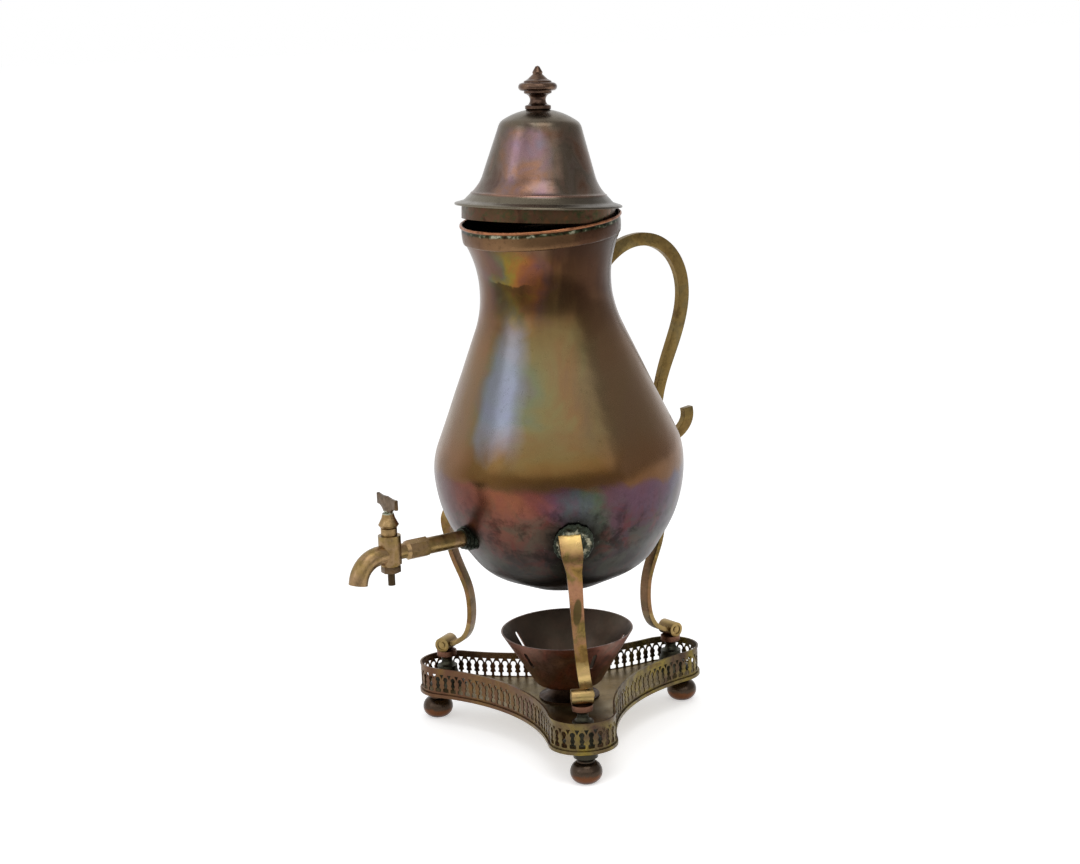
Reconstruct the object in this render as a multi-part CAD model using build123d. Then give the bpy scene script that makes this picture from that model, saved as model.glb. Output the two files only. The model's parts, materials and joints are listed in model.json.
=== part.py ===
from build123d import *
import os
from math import acos, atan, atan2, cos, hypot, pi, radians, sin, sqrt, tan

# Copper coffee urn with a plug tap, on a three-lobed brass stand with a burner bowl.
# Millimetres, +Z up. The tap points to -Y and the handle to +Y.
# Every piece is drawn about the upright centre line of the stand. At the end all are moved
# together along Y, so that the origin lies on the table midway between spout and handle.
# Each leg, foot, pedestal and lobe is drawn at the back, on +Y, and turned to its station.

STATIONS = {"back": 0, "right": -120, "left": 120}
FIT_GAP = 0.1
REST_GAP = 0.3

# Tray of the stand
PLATE_H = 25.3
PLATE_T = 1.2
LOBE_CIRCLE_R = 93.9
LOBE_R = 22.9
TRAY_WAIST_R = 48.9
GALLERY_H = 22.1
GALLERY_DROP = 2.4
GALLERY_T = 0.8
BASE_BEAD = 1.3
BASE_BEAD_H = 2.4
TOP_LIP = 0.5
TOP_LIP_H = 1.2

# Pierced openings of the gallery
BAY_PITCH = 6.4
OPENING_Z = 1.7
OPENING_H = 11.6
OPENING_BASE_W = 4.6
OPENING_BASE_H = 3.0
OPENING_HEAD_R = 1.9
OPENING_KNOT_R = 1.7
OPENING_STEM_W = 2.3
SPANDREL_W = 3.4
SPANDREL_H = 3.6
SPANDREL_RISE = 1.8

# Feet
FOOT_CIRCLE_R = 107.0
FOOT_FLAT_R = 5.0
FOOT_BALL_R = 11.1
FOOT_BALL_H = 15.2
FOOT_NECK_R = 6.2
FOOT_FLANGE_R = 8.5
FOOT_FLANGE_H = 3.4
FOOT_COVE_H = 3.2
FOOT_BOSS_R = 4.5
FOOT_RIVET_R = 2.5

# Pedestals under the legs
PEDESTAL_CIRCLE_R = 97.5
PEDESTAL_H = 25.9
PEDESTAL_BASE_R = 14.0
PEDESTAL_BASE_H = 11.5
PEDESTAL_RING_R = 7.4
PEDESTAL_RING_H = 3.0
PEDESTAL_NECK_R = 3.9
PEDESTAL_CUP_R = 7.3
PEDESTAL_CUP_H = 3.8
SCREW_R = 1.5
SCREW_L = 10.0
SCREW_HEAD_R = 3.3
SCREW_HEAD_H = 1.8

# Legs
LEG_FOOT_W = 8.8
LEG_KNEE_W = 15.0
LEG_STRAP_T = 3.3
LEG_KNEE_T = 8.5
LEG_WAIST_R = 75.0
LEG_KNEE_R = 90.0
SCROLL_R = 5.5
SCROLL_W = 15.0
SCROLL_EYE_R = 2.1
SCROLL_GROOVE_R = 3.5
SCROLL_GROOVE_DEPTH = 0.8
LEG_SKEW = {"back": 0.0, "right": 4.0, "left": 0.0}
PAD_W = 28.0
PAD_H = 31.0
PAD_T = 2.0

# Copper body
JUG_LEAN = 2.5
WALL = 1.0
BELLY_R = 89.0
BELLY_H = 201.0
SEAM_BELLY_H = 222.0
SEAM_NECK_H = 296.0
BOWL_ARC_R = 94.0
BOWL_TURN = 33.0
BOWL_CONE_L = 14.0
CORNER_ARC_R = 40.0
CORNER_TURN = 66.0
BASE_H = 113.3
SHOULDER_ARC_R = 48.0
NECK_R = 46.2
NECK_H = 328.0
NECK_ARC_R = 74.0
FLARE_ARC_R = 81.0
RIM_H = 376.7
COLLAR_R = 55.2
COLLAR_T = 0.9
COLLAR_H = 15.0
COLLAR_TILT = 2.6
COLLAR_TILT_TURN = 41.0
SEAT_LAP_H = 2.5
RIM_BEAD_R = 1.15
RIM_WIRE_R = 0.55

# Handle, with its lower end curled away from the belly
HANDLE_REACH = 122.2
HANDLE_T = 5.0
HANDLE_DEPTH = 9.4
HANDLE_ROOT_DEPTH = 15.0
HANDLE_TOP_H = 349.5
HANDLE_BOW_DROP = 41.0
CURL_REACH = 119.5
CURL_TIP_DEPTH = 8.5
CURL_H = 219.0

# Lid
LID_TILT = 4.0
LID_BRIM_R = 58.5
LID_TIP_H = 1.4
LID_BRIM_SLOPE = 17.0
LID_CREASE_R = 52.0
LID_FLARE_SLOPE = 45.0
LID_FLARE_ARC_R = 30.0
LID_BODY_R = 41.1
LID_TAPER = 17.0
LID_H = 66.6
LID_CROWN_ARC_R = 46.0
LID_SHOULDER_ARC_R = 8.0
LID_T = 0.9
LID_SIDE = -0.2
LID_FORE = -0.9
LID_PERCH = 0.8
LID_PLAY = 0.9
SKIRT_H = 12.5
SKIRT_T = 0.9

# Finial
FINIAL_BASE_R = 9.0
FINIAL_BASE_H = 2.3
FINIAL_NECK_R = 5.5
FINIAL_NECK_H = 6.3
FINIAL_STEP_R = 9.6
FINIAL_DISC_R = 13.4
FINIAL_DISC_H = 14.9
FINIAL_DISC_T = 5.5
FINIAL_TIP_R = 3.6
FINIAL_H = 29.2
FINIAL_LEAN = 1.9
FINIAL_LEAN_TURN = 54.0
FINIAL_STUD_R = 2.0
FINIAL_NUT_R = 4.6
FINIAL_NUT_H = 3.0

# Tap
TAP_AXIS = 143.8
PIPE_Z = 160.0
PIPE_R = 5.8
PIPE_BORE_R = 4.0
PIPE_INSET = 6.0
PIPE_SOCKET = 8.0
COLLAR_RINGS = 3
RING_R = 9.2
RING_STEP = 0.9
RING_W = 2.6
TAIL_AF = 13.0
TAIL_L = 15.0
WAIST_R = 5.3
WAIST_L = 6.0
BARREL_R = 7.8
BARREL_TOP = 13.0
BARREL_BOTTOM = 7.0
PLUG_TOP_R = 5.2
PLUG_BOTTOM_R = 4.2
PLUG_FIT = 0.06
WATERWAY_R = 2.6
SPOUT_R = 6.6
SPOUT_BORE_R = 4.4
SPOUT_BEND_R = 18.0
SPOUT_TURN = 80.0
SPOUT_STRAIGHT = 8.2
SPOUT_LIP = 2.2
PLUG_COLLAR_R = 5.6
PLUG_COLLAR_H = 5.4
PLUG_FLANGE_R = 7.1
PLUG_FLANGE_H = 2.2
PLUG_CONE_H = 15.4
PLUG_CONE_R = 3.9
WING_SPAN = 30.0
WING_T = 2.4
WING_H = 12.0
WING_TIP_H = 7.8
WING_STEM_W = 10.0
KEY_TURN = -7.0
TAIL_SCREW_R = 2.5
TAIL_SCREW_L = 15.0
WASHER_R = 6.4
WASHER_T = 1.0
NUT_AF = 12.0
NUT_T = 4.6

# Burner bowl
BOWL_RIM_R = 47.8
BOWL_RIM_H = 50.9
BOWL_LOW_R = 23.7
BOWL_LOW_H = 11.5
BOWL_T = 1.0
BOWL_LOW_ROUND = 4.0
BOWL_FOOT_R = 22.0
BOWL_NECK_R = 11.0
SLOT_COUNT = 5
SLOT_W = 3.4
SLOT_LOW = 30.5
SLOT_HIGH = 43.5
SLOT_TURN = 45.0
BOWL_SIDE = 0.8
BOWL_BACK = 1.1
BOWL_TILT = 1.9
BOWL_TILT_TURN = 54.0

PLATE_TOP = PLATE_H + PLATE_T
GALLERY_LOW = PLATE_H - GALLERY_DROP
PEDESTAL_TOP = PLATE_TOP + PEDESTAL_H
SCROLL_Z = PEDESTAL_TOP + SCROLL_R
COLLAR_IN_R = COLLAR_R - COLLAR_T
SKIRT_R = COLLAR_IN_R - LID_PLAY
SPOUT_REACH = TAP_AXIS + SPOUT_STRAIGHT + SPOUT_BEND_R * sin(radians(SPOUT_TURN)) + SPOUT_R
LOBE_RISE = TRAY_WAIST_R - LOBE_R
HOLLOW_CIRCLE_R = (LOBE_CIRCLE_R ** 2 - LOBE_RISE ** 2) / (LOBE_CIRCLE_R - 2 * LOBE_RISE)
FAR = 400


def point(y, z):
    """A point in the plane of symmetry through tap and handle."""
    return Vector(0, y, z)


def turned(*parts):
    """Solid of revolution about the centre line, from edges drawn in the YZ plane."""
    return revolve(make_face(Curve(children=list(parts))), Axis.Z)


def outline(points):
    """Edges through the points. A point written with a third value is the middle of an arc."""
    edges = []
    last = None
    middle = None
    for p in points + [points[0]]:
        if len(p) == 3:
            middle = point(p[0], p[1])
            continue
        here = point(p[0], p[1])
        if middle is not None:
            edges.append(ThreePointArc(last, middle, here))
        elif last is not None:
            edges.append(Line(last, here))
        last = here
        middle = None
    return edges


def lathe(points):
    """Turned piece about the centre line from a list of profile points."""
    return turned(*outline(points))


def lean(shape):
    """Tips a piece with the copper body, towards the tap."""
    return shape.rotate(Axis((0, 0, BELLY_H), (1, 0, 0)), JUG_LEAN)


def station(shape, turn):
    """Turns a piece from the back to its own lobe."""
    return shape.rotate(Axis.Z, turn)


def along_tap(shape):
    """Lays a piece turned about Z along the pipe, its foot at the centre line of the urn."""
    return Pos(0, 0, PIPE_Z) * (Rot(90, 0, 0) * shape)


# Tray

def lobe_geometry(offset):
    """Radii of lobe and hollow arcs, and the angle at which they meet, moved out by offset."""
    hollow = (HOLLOW_CIRCLE_R * cos(radians(30)), HOLLOW_CIRCLE_R * sin(radians(30)))
    gap = hypot(hollow[0], hollow[1] - LOBE_CIRCLE_R)
    side = ((hollow[0]) / gap, (hollow[1] - LOBE_CIRCLE_R) / gap)
    join_r = LOBE_R + offset
    join = (side[0] * join_r, LOBE_CIRCLE_R + side[1] * join_r)
    return gap - join_r, join


def lobe_edges(offset):
    """One third of the tray's outline, from one hollow's middle round a lobe to the next."""
    hollow_r, join = lobe_geometry(offset)
    near = HOLLOW_CIRCLE_R - hollow_r
    start = (near * cos(radians(30)), near * sin(radians(30)))
    centre = (HOLLOW_CIRCLE_R * cos(radians(30)), HOLLOW_CIRCLE_R * sin(radians(30)))
    mid = ((start[0] + join[0]) / 2 - centre[0], (start[1] + join[1]) / 2 - centre[1])
    scale = hollow_r / hypot(*mid)
    bend = (centre[0] + mid[0] * scale, centre[1] + mid[1] * scale)
    tip = (0, LOBE_CIRCLE_R + LOBE_R + offset)
    return [
        ThreePointArc(start, bend, join),
        ThreePointArc(join, tip, (-join[0], join[1])),
        ThreePointArc((-join[0], join[1]), (-bend[0], bend[1]), (-start[0], start[1])),
    ]


def tray_face(offset):
    edges = []
    for turn in (0, 120, 240):
        edges += [e.rotate(Axis.Z, turn) for e in lobe_edges(offset)]
    return make_face(Curve(children=edges))


def slab(face, low, high):
    return Pos(0, 0, low) * extrude(face, high - low)


def at_stations(shape):
    return [station(shape, turn) for turn in STATIONS.values()]


def tray_plate():
    plate = slab(tray_face(-GALLERY_T), PLATE_H, PLATE_TOP)
    screw_hole = Pos(0, PEDESTAL_CIRCLE_R, PLATE_H) * Cylinder(SCREW_R + FIT_GAP, 4 * PLATE_T)
    rivet_hole = Pos(0, FOOT_CIRCLE_R, PLATE_H) * Cylinder(FOOT_RIVET_R + FIT_GAP, 4 * PLATE_T)
    return plate - at_stations(screw_hole) - at_stations(rivet_hole)


def opening_face():
    """One pierced opening: square foot, knotted stem and round head."""
    head_y = OPENING_H - OPENING_HEAD_R
    foot = Pos(0, OPENING_BASE_H / 2) * RectangleRounded(OPENING_BASE_W, OPENING_BASE_H, 0.8)
    stem = Pos(0, head_y / 2) * Rectangle(OPENING_STEM_W, head_y)
    knot = Pos(0, (OPENING_BASE_H + head_y - OPENING_HEAD_R) / 2) * Circle(OPENING_KNOT_R)
    return foot + stem + knot + Pos(0, head_y) * Circle(OPENING_HEAD_R)


def spandrel_face():
    """The small three-cornered opening between two round heads."""
    top = OPENING_H + SPANDREL_RISE
    half = SPANDREL_W / 2
    low = (0, top - SPANDREL_H)
    return make_face(Polyline((-half, top), (half, top), low, close=True))


def gallery_strip():
    """A third of the pierced wall, soldered round the plate, with its beads."""
    low = GALLERY_LOW
    high = low + GALLERY_H
    wall = slab(tray_face(0) - tray_face(-GALLERY_T), low, high)
    wall += slab(tray_face(BASE_BEAD) - tray_face(-GALLERY_T), low, low + BASE_BEAD_H)
    wall += slab(tray_face(TOP_LIP) - tray_face(-GALLERY_T), high - TOP_LIP_H, high)
    wedge = Polyline((0, 0), (FAR * cos(radians(30)), FAR / 2), (0, FAR),
                     (-FAR * cos(radians(30)), FAR / 2), close=True)
    strip = wall & slab(make_face(wedge), 0, high + PLATE_H)
    path = Wire(lobe_edges(-GALLERY_T / 2))
    count = round(path.length / BAY_PITCH)
    cuts = []
    for i in range(count):
        cuts.append(pierce(path, (i + 0.5) / count, opening_face()))
    for i in range(1, count):
        cuts.append(pierce(path, i / count, spandrel_face()))
    return strip - cuts


def pierce(path, u, face):
    """Cutter through the wall at a share u of the strip's length."""
    here = path @ u
    run = path % u
    outward = Vector(run.Y, -run.X, 0)
    plane = Plane(origin=(here.X, here.Y, PLATE_H + OPENING_Z), x_dir=run, z_dir=outward)
    return extrude(plane * face, 3 * GALLERY_T, both=True)


# Feet and pedestals

def foot():
    """Turned ball foot with a neck and flange, riveted through the plate."""
    neck_z = FOOT_BALL_H
    flange_z = neck_z + FOOT_COVE_H
    boss_z = flange_z + FOOT_FLANGE_H
    profile = [
        (0, 0), (FOOT_FLAT_R, 0), (FOOT_BALL_R, FOOT_BALL_H / 2, "arc"), (FOOT_NECK_R, neck_z),
        (FOOT_NECK_R + 0.5, neck_z + 0.6 * FOOT_COVE_H, "arc"), (FOOT_FLANGE_R, flange_z),
        (FOOT_FLANGE_R, boss_z), (FOOT_BOSS_R, boss_z), (FOOT_BOSS_R, PLATE_H),
        (FOOT_RIVET_R, PLATE_H), (FOOT_RIVET_R, PLATE_TOP), (0, PLATE_TOP),
    ]
    return Pos(0, FOOT_CIRCLE_R, 0) * lathe(profile)


def pedestal():
    """Turned pedestal: spread base, ring, neck and cup, bored from below for its screw."""
    ring_z = PLATE_TOP + PEDESTAL_BASE_H
    neck_z = ring_z + PEDESTAL_RING_H
    cup_z = PEDESTAL_TOP - PEDESTAL_CUP_H
    sweep_r = PEDESTAL_RING_R + 0.38 * (PEDESTAL_BASE_R - PEDESTAL_RING_R)
    profile = [
        (0, PLATE_TOP), (PEDESTAL_BASE_R, PLATE_TOP),
        (sweep_r, PLATE_TOP + 0.45 * PEDESTAL_BASE_H, "arc"),
        (PEDESTAL_RING_R, ring_z), (PEDESTAL_RING_R, neck_z),
        (PEDESTAL_NECK_R, (neck_z + cup_z) / 2, "arc"),
        (PEDESTAL_CUP_R, cup_z), (PEDESTAL_CUP_R, PEDESTAL_TOP), (0, PEDESTAL_TOP),
    ]
    hole = Pos(0, 0, PLATE_H + SCREW_L / 2) * Cylinder(SCREW_R + FIT_GAP, SCREW_L + 2 * FIT_GAP)
    return Pos(0, PEDESTAL_CIRCLE_R, 0) * (lathe(profile) - hole)


def pedestal_screws():
    """Three screws from below, through the plate into the pedestals."""
    head_z = PLATE_H - SCREW_HEAD_H
    profile = [
        (0, head_z), (0.7 * SCREW_HEAD_R, head_z),
        (0.93 * SCREW_HEAD_R, head_z + 0.25 * SCREW_HEAD_H, "arc"),
        (SCREW_HEAD_R, PLATE_H), (SCREW_R, PLATE_H),
        (SCREW_R, PLATE_H + SCREW_L), (0, PLATE_H + SCREW_L),
    ]
    first, *others = at_stations(Pos(0, PEDESTAL_CIRCLE_R, 0) * lathe(profile))
    return first + others


# Bars bent in the plane of symmetry

def bent_bar(path, depths, width):
    """Flat bar along a path in the YZ plane. Its depth runs through the listed values."""
    steps = 14
    inner = []
    outer = []
    for i in range(steps + 1):
        u = i / steps
        here = path @ u
        run = path % u
        side = Vector(0, -run.Z, run.Y)
        k = min(int(u * (len(depths) - 1)), len(depths) - 2)
        share = u * (len(depths) - 1) - k
        half = (depths[k] * (1 - share) + depths[k + 1] * share) / 2
        outer.append(here + side * half)
        inner.append(here - side * half)
    edges = [
        Spline(*outer),
        Line(outer[-1], inner[-1]),
        Spline(*inner[::-1]),
        Line(inner[0], outer[0]),
    ]
    return extrude(make_face(Curve(children=edges)), width / 2, both=True)


# Copper body

def jug_profile(inset):
    """Outline of the body, moved in by inset, open at the top."""
    bowl = (BELLY_R - BOWL_ARC_R, BELLY_H)
    shoulder = (BELLY_R - SHOULDER_ARC_R, BELLY_H)
    neck = (NECK_R + NECK_ARC_R, NECK_H)
    flare = (NECK_R + FLARE_ARC_R, NECK_H)
    across = (neck[0] - shoulder[0], neck[1] - shoulder[1])
    cone = atan2(across[1], across[0]) - acos((SHOULDER_ARC_R + NECK_ARC_R) / hypot(*across))
    bowl_r = BOWL_ARC_R - inset
    corner_r = CORNER_ARC_R - inset
    bowl_turn = radians(BOWL_TURN)
    floor_turn = radians(CORNER_TURN)
    top = acos((FLARE_ARC_R - (COLLAR_IN_R - NECK_R)) / FLARE_ARC_R)
    edge_h = flare[1] + FLARE_ARC_R * sin(top)
    top_h = edge_h + SEAT_LAP_H

    def on(centre, radius, angle):
        return (centre[0] + radius * cos(angle), centre[1] + radius * sin(angle))

    def mid(centre, radius, angle):
        return on(centre, radius, angle) + ("arc",)

    spread = BOWL_ARC_R - CORNER_ARC_R
    corner = on(bowl, spread, -bowl_turn)
    corner = (corner[0] - BOWL_CONE_L * sin(bowl_turn), corner[1] - BOWL_CONE_L * cos(bowl_turn))
    floor = on(corner, corner_r, -floor_turn)
    base_r = floor[0] - (floor[1] - BASE_H - inset) * tan(floor_turn)
    shoulder_r = SHOULDER_ARC_R - inset
    neck_r = NECK_ARC_R + inset
    flare_r = FLARE_ARC_R + inset
    rise = WALL if inset > 0 else 0
    return [
        (0, BASE_H + inset), (base_r, BASE_H + inset), floor,
        mid(corner, corner_r, -(floor_turn + bowl_turn) / 2), on(corner, corner_r, -bowl_turn),
        on(bowl, bowl_r, -bowl_turn), mid(bowl, bowl_r, -bowl_turn / 2), (bowl[0] + bowl_r, BELLY_H),
        mid(shoulder, shoulder_r, cone / 2), on(shoulder, shoulder_r, cone),
        on(neck, neck_r, cone + pi), mid(neck, neck_r, cone / 2 + pi), (NECK_R - inset, NECK_H),
        mid(flare, flare_r, pi - top / 2), on(flare, flare_r, pi - top),
        (COLLAR_IN_R - inset, top_h + rise), (0, top_h + rise),
    ]


def jug_solid(inset):
    """The body as if it were full, for its shell and for what seats on it."""
    return lean(lathe(jug_profile(inset)))


def jug_parts():
    """The raised bowl, the cone and the neck, each of sheet, brazed end to end."""
    shell = lathe(jug_profile(0)) - lathe(jug_profile(WALL))
    hole = along_tap(Cylinder(PIPE_R + FIT_GAP, 2 * BELLY_R, align=FROM_FOOT))
    limits = {
        "jug_bowl": (0, SEAM_BELLY_H), "jug_cone": (SEAM_BELLY_H, SEAM_NECK_H), "jug_neck": (SEAM_NECK_H, FAR),
    }
    parts = {}
    for name, (low, high) in limits.items():
        band = Pos(0, 0, low) * Cylinder(2 * BELLY_R, high - low, align=FROM_FOOT)
        parts[name] = lean(shell & band) - hole
    return parts


def on_neck(shape):
    """Sets a piece of the mouth a little askew on the neck, then tips it with the body."""
    turn = radians(COLLAR_TILT_TURN)
    pivot = Axis((0, 0, RIM_H - COLLAR_H), (cos(turn), sin(turn), 0))
    return lean(shape.rotate(pivot, COLLAR_TILT))


def collar_band():
    """Band round the mouth, its top edge rolled over a wire."""
    low = RIM_H - COLLAR_H
    bead = (COLLAR_IN_R + RIM_BEAD_R, RIM_H - RIM_BEAD_R)
    band = lathe([
        (COLLAR_IN_R, low), (COLLAR_R, low), (COLLAR_R, bead[1]), (COLLAR_IN_R, bead[1]),
    ])
    roll = Pos(0, 0, bead[1]) * Torus(bead[0], RIM_BEAD_R)
    tunnel = Pos(0, 0, bead[1]) * Torus(bead[0], RIM_WIRE_R)
    step = lathe([
        (COLLAR_R, low), (COLLAR_R + 0.5, low + 0.3), (COLLAR_R + 0.5, low + 1.1), (COLLAR_R, low + 1.4),
    ])
    return on_neck(band + roll + step - tunnel) - jug_solid(0)


def rim_wire():
    z = RIM_H - RIM_BEAD_R
    return on_neck(Pos(0, 0, z) * Torus(COLLAR_IN_R + RIM_BEAD_R, RIM_WIRE_R - 0.04))


def handle():
    """Flat bar from the neck, out and down to the belly, ending in a curl."""
    reach = HANDLE_REACH
    top = HANDLE_TOP_H
    path = Spline(
        point(NECK_R - 3, top - 18), point(NECK_R + 14, top - 6), point(NECK_R + 37, top),
        point(reach - 18, top - 6), point(reach - 5, top - 20), point(reach, top - HANDLE_BOW_DROP),
        point(reach - 8, top - 71), point(reach - 23, top - 101), point(BELLY_R + 1.5, top - 133),
        point(BELLY_R + 4, top - 148), point(BELLY_R + 15, top - 150.5),
        point(CURL_REACH - 3, CURL_H - 11), point(CURL_REACH, CURL_H),
    )
    deep = HANDLE_DEPTH
    depths = [HANDLE_ROOT_DEPTH, deep, deep, deep, deep, deep, deep, 0.8 * deep, 0.8 * deep,
              0.8 * deep, CURL_TIP_DEPTH]
    bar = bent_bar(path, depths, HANDLE_T)
    return lean(bar) - jug_solid(0)


# Legs

def knee_region(inset):
    """The body grown by the thickness of the solder pads."""
    return jug_solid(-inset)


def leg(name, grown):
    """Bent strap from the belly down to a scroll on its pedestal."""
    waist = LEG_WAIST_R
    knee = LEG_KNEE_R
    drum_y = PEDESTAL_CIRCLE_R
    path = Spline(
        point(drum_y - 1, SCROLL_Z + 0.3), point(waist + 13, SCROLL_Z + 2),
        point(waist + 5.8, SCROLL_Z + 7), point(waist + 1.4, SCROLL_Z + 16),
        point(waist, SCROLL_Z + 29), point(waist + 1.6, SCROLL_Z + 43),
        point(waist + 6.4, SCROLL_Z + 56), point(waist + 12.2, SCROLL_Z + 70),
        point(knee, SCROLL_Z + 84), point(knee - 0.5, SCROLL_Z + 95),
        point(knee - 4.5, SCROLL_Z + 104), point(knee - 13, SCROLL_Z + 110),
    )
    thin = LEG_STRAP_T
    depths = [thin, thin, thin, thin, thin, 1.1 * thin, LEG_KNEE_T, LEG_KNEE_T + 1.5]
    bar = bent_bar(path, depths, LEG_KNEE_W) & strap_front()
    bar = bar.rotate(Axis((0, 0, SCROLL_Z + 62), (0, 1, 0)), LEG_SKEW[name])
    drum = Pos(0, drum_y, SCROLL_Z) * (Rot(0, 90, 0) * Cylinder(SCROLL_R, SCROLL_W))
    return station(bar + drum - scroll_grooves(drum_y), STATIONS[name]) - grown


def strap_front():
    """The strap's outline seen from outside, narrow below and wide at the knee."""
    half = LEG_FOOT_W / 2
    knee = LEG_KNEE_W / 2
    side = [(half, 0), (half, 40), (1.1 * half, 70), (1.2 * half, 86), (knee, 98), (knee, 130)]
    right = [(x, 0, SCROLL_Z + z) for x, z in side]
    left = [(-x, 0, SCROLL_Z + z) for x, z in reversed(side)]
    foot_line = [(-half, 0, 0), (half, 0, 0)]
    return extrude(make_face(Polyline(*foot_line, *right, *left, close=True)), FAR / 2, both=True)


def scroll_grooves(drum_y):
    """Ring groove round the eye at each end of the scroll."""
    ring = Cylinder(SCROLL_GROOVE_R, SCROLL_GROOVE_DEPTH) - Cylinder(SCROLL_EYE_R, SCROLL_GROOVE_DEPTH)
    reach = (SCROLL_W - SCROLL_GROOVE_DEPTH) / 2
    return [Pos(side * reach, drum_y, SCROLL_Z) * (Rot(0, 90, 0) * ring) for side in (-1, 1)]


def leg_pad(turn, grown):
    """Oval pad of solder between a leg's knee and the belly."""
    centre_z = SCROLL_Z + 103
    oval = make_face(Ellipse(PAD_W / 2, PAD_H / 2).edges())
    prism = Pos(0, 0, centre_z) * (Rot(-90, 0, 0) * extrude(oval, 2 * BELLY_R))
    return (station(prism, turn) & grown) - jug_solid(0)


# Lid

def meet(first, first_reach, second, second_reach):
    """Where two lines cross. Each is given by the angle of its normal and its distance."""
    span = sin(second - first)
    x = (first_reach * sin(second) - second_reach * sin(first)) / span
    y = (second_reach * cos(first) - first_reach * cos(second)) / span
    return (x, y)


def reach_of(x, y, normal):
    """Distance from the origin to the line through a point, along the line's normal."""
    return x * cos(normal) + y * sin(normal)


def lid_profile(inset):
    """Outline of the lid, moved in by inset. The brim's tip is the lowest point outside."""
    brim = radians(90 - LID_BRIM_SLOPE)
    flare = radians(LID_FLARE_SLOPE)
    body = radians(LID_TAPER)
    crease_h = LID_TIP_H + (LID_BRIM_R - LID_CREASE_R) * tan(radians(LID_BRIM_SLOPE))
    body_h = crease_h + (LID_CREASE_R - LID_BODY_R) / tan(flare)
    brim_reach = reach_of(LID_BRIM_R, LID_TIP_H, brim) - inset
    flare_reach = reach_of(LID_CREASE_R, crease_h, flare) - inset
    body_reach = reach_of(LID_BODY_R, body_h, body) - inset
    flare_r = LID_FLARE_ARC_R + inset
    bend = meet(body, body_reach + flare_r, flare, flare_reach + flare_r)
    crown_z = LID_H - LID_CROWN_ARC_R
    spread = LID_CROWN_ARC_R - LID_SHOULDER_ARC_R
    shoulder_r = LID_SHOULDER_ARC_R - inset
    turn = body + acos((body_reach - shoulder_r - crown_z * sin(body)) / spread)
    crown = (0, crown_z)
    crown_r = LID_CROWN_ARC_R - inset
    shoulder = (spread * cos(turn), crown_z + spread * sin(turn))

    def on(centre, radius, angle):
        return (centre[0] + radius * cos(angle), centre[1] + radius * sin(angle))

    points = [
        (0, crown_z + crown_r), on(crown, crown_r, (pi / 2 + turn) / 2) + ("arc",),
        on(crown, crown_r, turn), on(shoulder, shoulder_r, (turn + body) / 2) + ("arc",),
        on(shoulder, shoulder_r, body), on(bend, -flare_r, body),
        on(bend, -flare_r, (body + flare) / 2) + ("arc",), on(bend, -flare_r, flare),
        meet(flare, flare_reach, brim, brim_reach),
    ]
    if inset == 0:
        return points + [(LID_BRIM_R, LID_TIP_H), (LID_BRIM_R, 0), (0, 0)]
    past = LID_BRIM_R + SKIRT_H
    drop = (brim_reach - past * cos(brim)) / sin(brim)
    return points + [(past, drop), (past, -SKIRT_H - drop), (0, -SKIRT_H - drop)]


def rim_centre():
    """Centre of the mouth's top, as it stands."""
    return on_neck(Pos(0, 0, RIM_H) * Vertex(0, 0, 0)).center()


def lid_lift():
    """Height of the lid over the mouth, so that its brim clears the rim at the handle."""
    turn = radians(COLLAR_TILT_TURN)
    ahead = JUG_LEAN + LID_TILT + COLLAR_TILT * cos(turn)
    askew = radians(hypot(COLLAR_TILT * sin(turn), ahead))
    contact_r = COLLAR_IN_R + RIM_BEAD_R
    under = LID_TIP_H + (LID_BRIM_R - contact_r) * tan(radians(LID_BRIM_SLOPE)) - LID_T
    return contact_r * sin(askew) - under * cos(askew) + REST_GAP + LID_PERCH


def seat_lid(shape):
    """Sets a lid piece askew over the mouth, where its skirt binds."""
    rim = rim_centre()
    askew = shape.rotate(Axis.X, -LID_TILT)
    return Pos(rim.X + LID_SIDE, rim.Y + LID_FORE, rim.Z + lid_lift()) * askew


def on_crown(shape):
    """Slides a piece round the crown, off the lid's middle."""
    turn = radians(FINIAL_LEAN_TURN)
    pivot = Axis((0, 0, LID_H - LID_CROWN_ARC_R), (sin(turn), -cos(turn), 0))
    return shape.rotate(pivot, FINIAL_LEAN)


def lid_dome():
    stud_hole = Pos(0, 0, LID_H) * Cylinder(FINIAL_STUD_R + FIT_GAP, 6 * LID_T)
    return lathe(lid_profile(0)) - lathe(lid_profile(LID_T)) - on_crown(stud_hole)


def lid_skirt():
    """Plain band soldered inside the brim, which guides the lid in the mouth."""
    tube = Pos(0, 0, -SKIRT_H) * (
        Cylinder(SKIRT_R, LID_H, align=FROM_FOOT) - Cylinder(SKIRT_R - SKIRT_T, LID_H, align=FROM_FOOT)
    )
    return tube & lathe(lid_profile(LID_T))


def crown_at(radius, inset=0):
    """Height of the lid's crown at a distance from its axis."""
    return LID_H - LID_CROWN_ARC_R + sqrt((LID_CROWN_ARC_R - inset) ** 2 - radius ** 2)


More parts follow.
